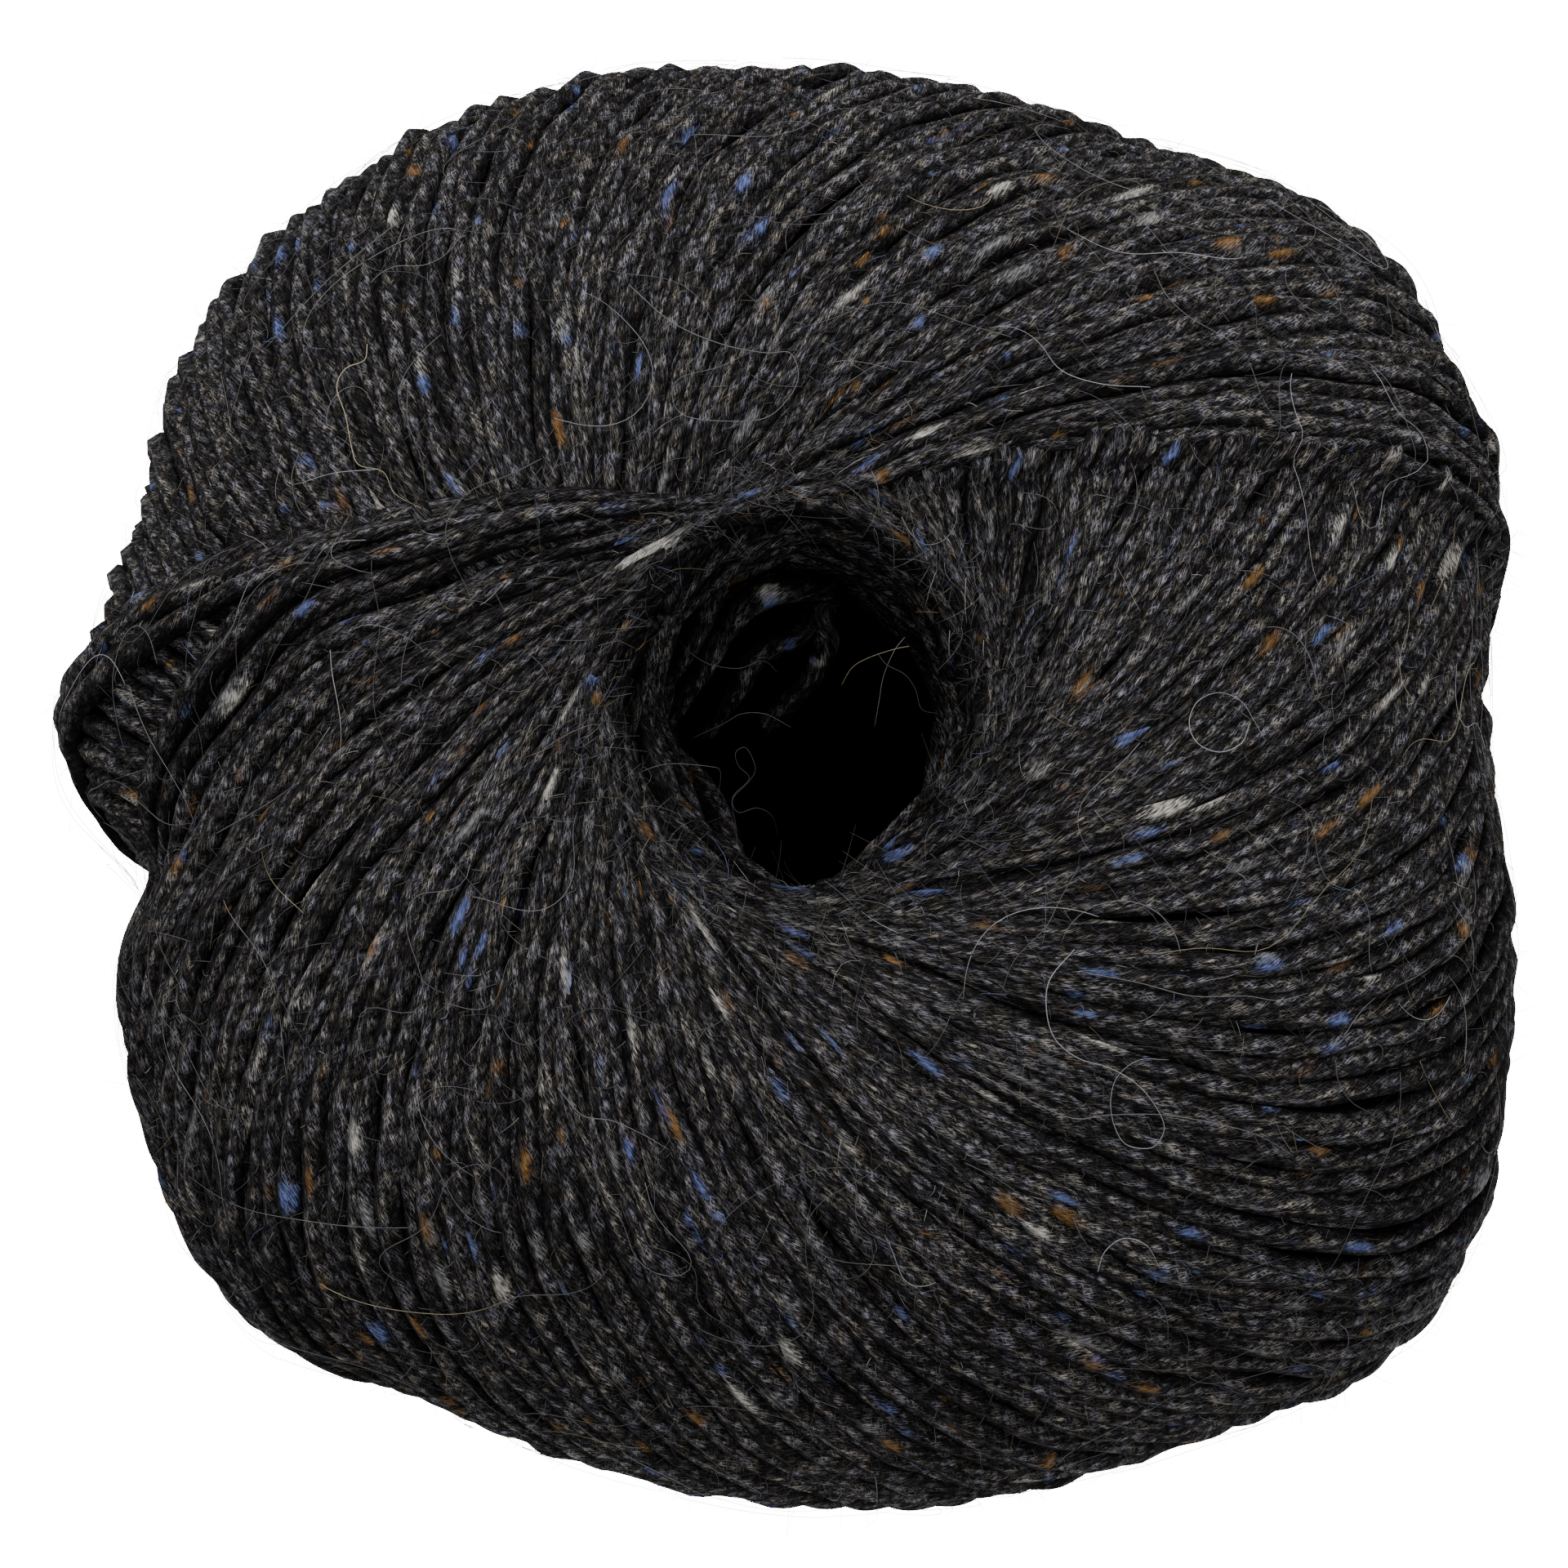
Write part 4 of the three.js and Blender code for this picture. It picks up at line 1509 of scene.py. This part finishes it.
@dataclass(frozen=True)
class WoolFinish:
    """A soft, rough wool shader: dark ground, light short fibres, and dyed flecks from the tint."""

    name: str
    dark: Colour = (0.0019, 0.0017, 0.0019)
    warm: Colour = (0.246, 0.223, 0.194)
    cool: Colour = (0.214, 0.210, 0.248)
    tone_range: Span = (0.38, 0.62)
    fleck_range: Span = (0.74, 1.30)
    fleck_uneven: Span = (2.4, -0.35)
    roughness: float = 0.95
    specular: float = 0.02
    sheen: float = 0.006
    sheen_roughness: float = 0.6
    bump: float = 0.9
    bump_depth: float = 0.25 * MM

    def material(self) -> bpy.types.Material:
        """Builds the material."""
        made, tree = empty_material(self.name)
        place = tree.node("UVMap", {}, uv_map="strand").outputs["UV"]
        tint = tree.node("Attribute", {}, attribute_name="tint").outputs
        wool = tree.node("Group", {"Place": place}, node_tree=WoolPattern().group()).outputs
        tone = tree.ranged(wool["Tone"], self.tone_range, kind="LINEAR")
        light = tree.mixed(tone, (*self.warm, 1.0), (*self.cool, 1.0))
        ground = tree.mixed(wool["Light"], (*self.dark, 1.0), light)
        fleck = tree.ranged(tree.math("ADD", tint["Alpha"], wool["Streak"]), self.fleck_range)
        uneven = tree.math("MULTIPLY_ADD", wool["Streak"], *self.fleck_uneven)
        dyed = tree.mixed(fleck, ground, tree.vector("SCALE", {0: tint["Color"], "Scale": uneven}))
        inputs = {"Height": wool["Height"], "Strength": self.bump, "Distance": self.bump_depth}
        inputs = {
            # Painted shade: the whole colour, flecks too, is darkened towards the hollow's axis.
            "Base Color": tree.vector("SCALE", {0: dyed, "Scale": wool["HollowShade"]}),
            "Normal": tree.node("Bump", inputs).outputs["Normal"],
            "Roughness": self.roughness,
            "Specular IOR Level": self.specular,
            "Sheen Weight": self.sheen,
            "Sheen Roughness": self.sheen_roughness,
        }
        surface = tree.node("BsdfPrincipled", inputs)
        tree.node("OutputMaterial", {"Surface": surface.outputs["BSDF"]})
        return made


@dataclass(frozen=True)
class LooseFibreFinish:
    """The finish of single loose fibres: their own colour, a little lighter and darker along them."""

    name: str = "loose_wool"
    noise_scale: float = 600.0
    vary: Span = (0.6, 1.4)
    roughness: float = 0.6
    specular: float = 0.3

    def material(self) -> bpy.types.Material:
        """Builds the material."""
        made, tree = empty_material(self.name)
        tint = tree.node("Attribute", {}, attribute_name="tint").outputs["Color"]
        noise = tree.noise(tree.node("TexCoord", {}).outputs["Object"], self.noise_scale, {})
        shade = tree.ranged(noise, (0.0, 1.0), self.vary, "LINEAR")
        colour = tree.vector("SCALE", {0: tint, "Scale": shade})
        inputs = {"Base Color": colour, "Roughness": self.roughness, "Specular IOR Level": self.specular}
        surface = tree.node("BsdfPrincipled", inputs)
        tree.node("OutputMaterial", {"Surface": surface.outputs["BSDF"]})
        return made


@dataclass(frozen=True)
class Lamp:
    """A soft square light: where it stands, how wide it is and its power in watts."""

    name: str
    place: tuple[float, float, float]
    size: float
    watts: float


@dataclass(frozen=True)
class Studio:
    """Camera, plain pale floor and soft light."""

    view: View
    frame_width: float = 0.1080
    sensor: float = 36.0
    clip: Span = (0.01, 20.0)
    sky: float = 0.74
    floor_half: float = 3.0
    floor_grey: float = 0.6
    floor_roughness: float = 0.9
    floor_glow: float = 16.0
    lamps: tuple[Lamp, ...] = (
        Lamp("key", (-0.2, 0.85, 1.0), 0.6, 18.0),
        Lamp("fill", (0.7, -0.3, 1.1), 0.9, 4.2),
    )

    def camera(self) -> None:
        """Sets the camera in front of the ball, looking down on its face."""
        data = bpy.data.cameras.new("camera")
        data.sensor_width = self.sensor
        data.lens = self.sensor * self.view.distance / self.frame_width
        data.clip_start, data.clip_end = self.clip
        camera = bpy.data.objects.new("camera", data)
        back = Vector(self.view.towards())
        camera.location = Vector(self.view.aim) + back * self.view.distance
        camera.rotation_euler = (-back).to_track_quat("-Z", "Y").to_euler()
        bpy.context.scene.collection.objects.link(camera)
        bpy.context.scene.camera = camera

    def floor(self) -> None:
        """Lays a wide pale floor just under the ball, which glows for the camera alone."""
        half = self.floor_half
        mesh = bpy.data.meshes.new("floor")
        corners = [(-half, -half, 0.0), (half, -half, 0.0), (half, half, 0.0), (-half, half, 0.0)]
        mesh.from_pydata(corners, [], [(0, 1, 2, 3)])
        made = bpy.data.materials.new("pale_floor")
        made.use_nodes = True
        sockets = made.node_tree.nodes["Principled BSDF"].inputs
        sockets["Base Color"].default_value = (self.floor_grey, self.floor_grey, self.floor_grey, 1.0)
        sockets["Roughness"].default_value = self.floor_roughness
        sockets["Emission Color"].default_value = WHITE
        tree = ShaderTree(made.node_tree)
        seen = tree.node("LightPath", {}).outputs["Is Camera Ray"]
        glow = tree.math("MULTIPLY", seen, self.floor_glow)
        made.node_tree.links.new(glow, sockets["Emission Strength"])
        mesh.materials.append(made)
        floor = bpy.data.objects.new("floor", mesh)
        bpy.context.scene.collection.objects.link(floor)

    def light(self, lamp: Lamp) -> None:
        """Adds a light that faces the ball."""
        data = bpy.data.lights.new(lamp.name, "AREA")
        data.shape = "SQUARE"
        data.size = lamp.size
        data.energy = lamp.watts
        made = bpy.data.objects.new(lamp.name, data)
        made.location = lamp.place
        towards = Vector(self.view.aim) - Vector(lamp.place)
        made.rotation_euler = towards.to_track_quat("-Z", "Y").to_euler()
        bpy.context.scene.collection.objects.link(made)

    def build(self) -> None:
        """Builds the stage."""
        self.camera()
        self.floor()
        world = bpy.data.worlds.new("studio")
        world.use_nodes = True
        sockets = world.node_tree.nodes["Background"].inputs
        sockets["Color"].default_value = WHITE
        sockets["Strength"].default_value = self.sky
        bpy.context.scene.world = world
        for lamp in self.lamps:
            self.light(lamp)
        LOG.info("studio: camera, floor, %d soft lights", len(self.lamps))


# Painted shade: the inner winding's light fibres, far darker than the shown turns' wool, so the inner layers
# and the hollow's wall read as in shadow.
SHADED_INNER_FIBRES: Colour = (0.022, 0.020, 0.017)


def main() -> None:
    logging.basicConfig(level=logging.INFO, format="%(name)s %(message)s")
    view = View()
    Studio(view).build()
    form = WoundForm().centred()
    strand = Strand()
    wool = WoolFinish("tweed_strand").material()
    # Painted shade: a copy of the wool with its light fibres darkened, for the inner winding and the hollow's
    # wall.
    inner = WoolFinish("shaded_inner_wool", warm=SHADED_INNER_FIBRES, cool=SHADED_INNER_FIBRES, sheen=0.0).material()
    winding = Winding(form, strand, FLECKS, view)
    winding.build(wool)
    InnerWinding(form).build(inner)
    HollowTurns(form, strand, winding).build(wool)
    roots = Roots.joined(winding.roots)
    from_axis = np.linalg.norm(roots.points[:, :2] - form.axis(), axis=1)
    rim_roots = roots.kept((from_axis < RIM_REACH) & (roots.points[:, 2] > form.middle_height))
    threads = Threads()
    loose = LooseFibreFinish().material()
    Halo(FUZZ, threads, FibreColours(), strand).build(roots, loose)
    Halo(RIM_FUZZ, threads, RIM_SHADED_COLOURS, strand).build(rim_roots, loose)
    LongHairs(form, threads, HAIR_COLOURS, NAMED_HAIRS, view).build(loose)
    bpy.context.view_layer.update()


if __name__ == "__main__":
    main()
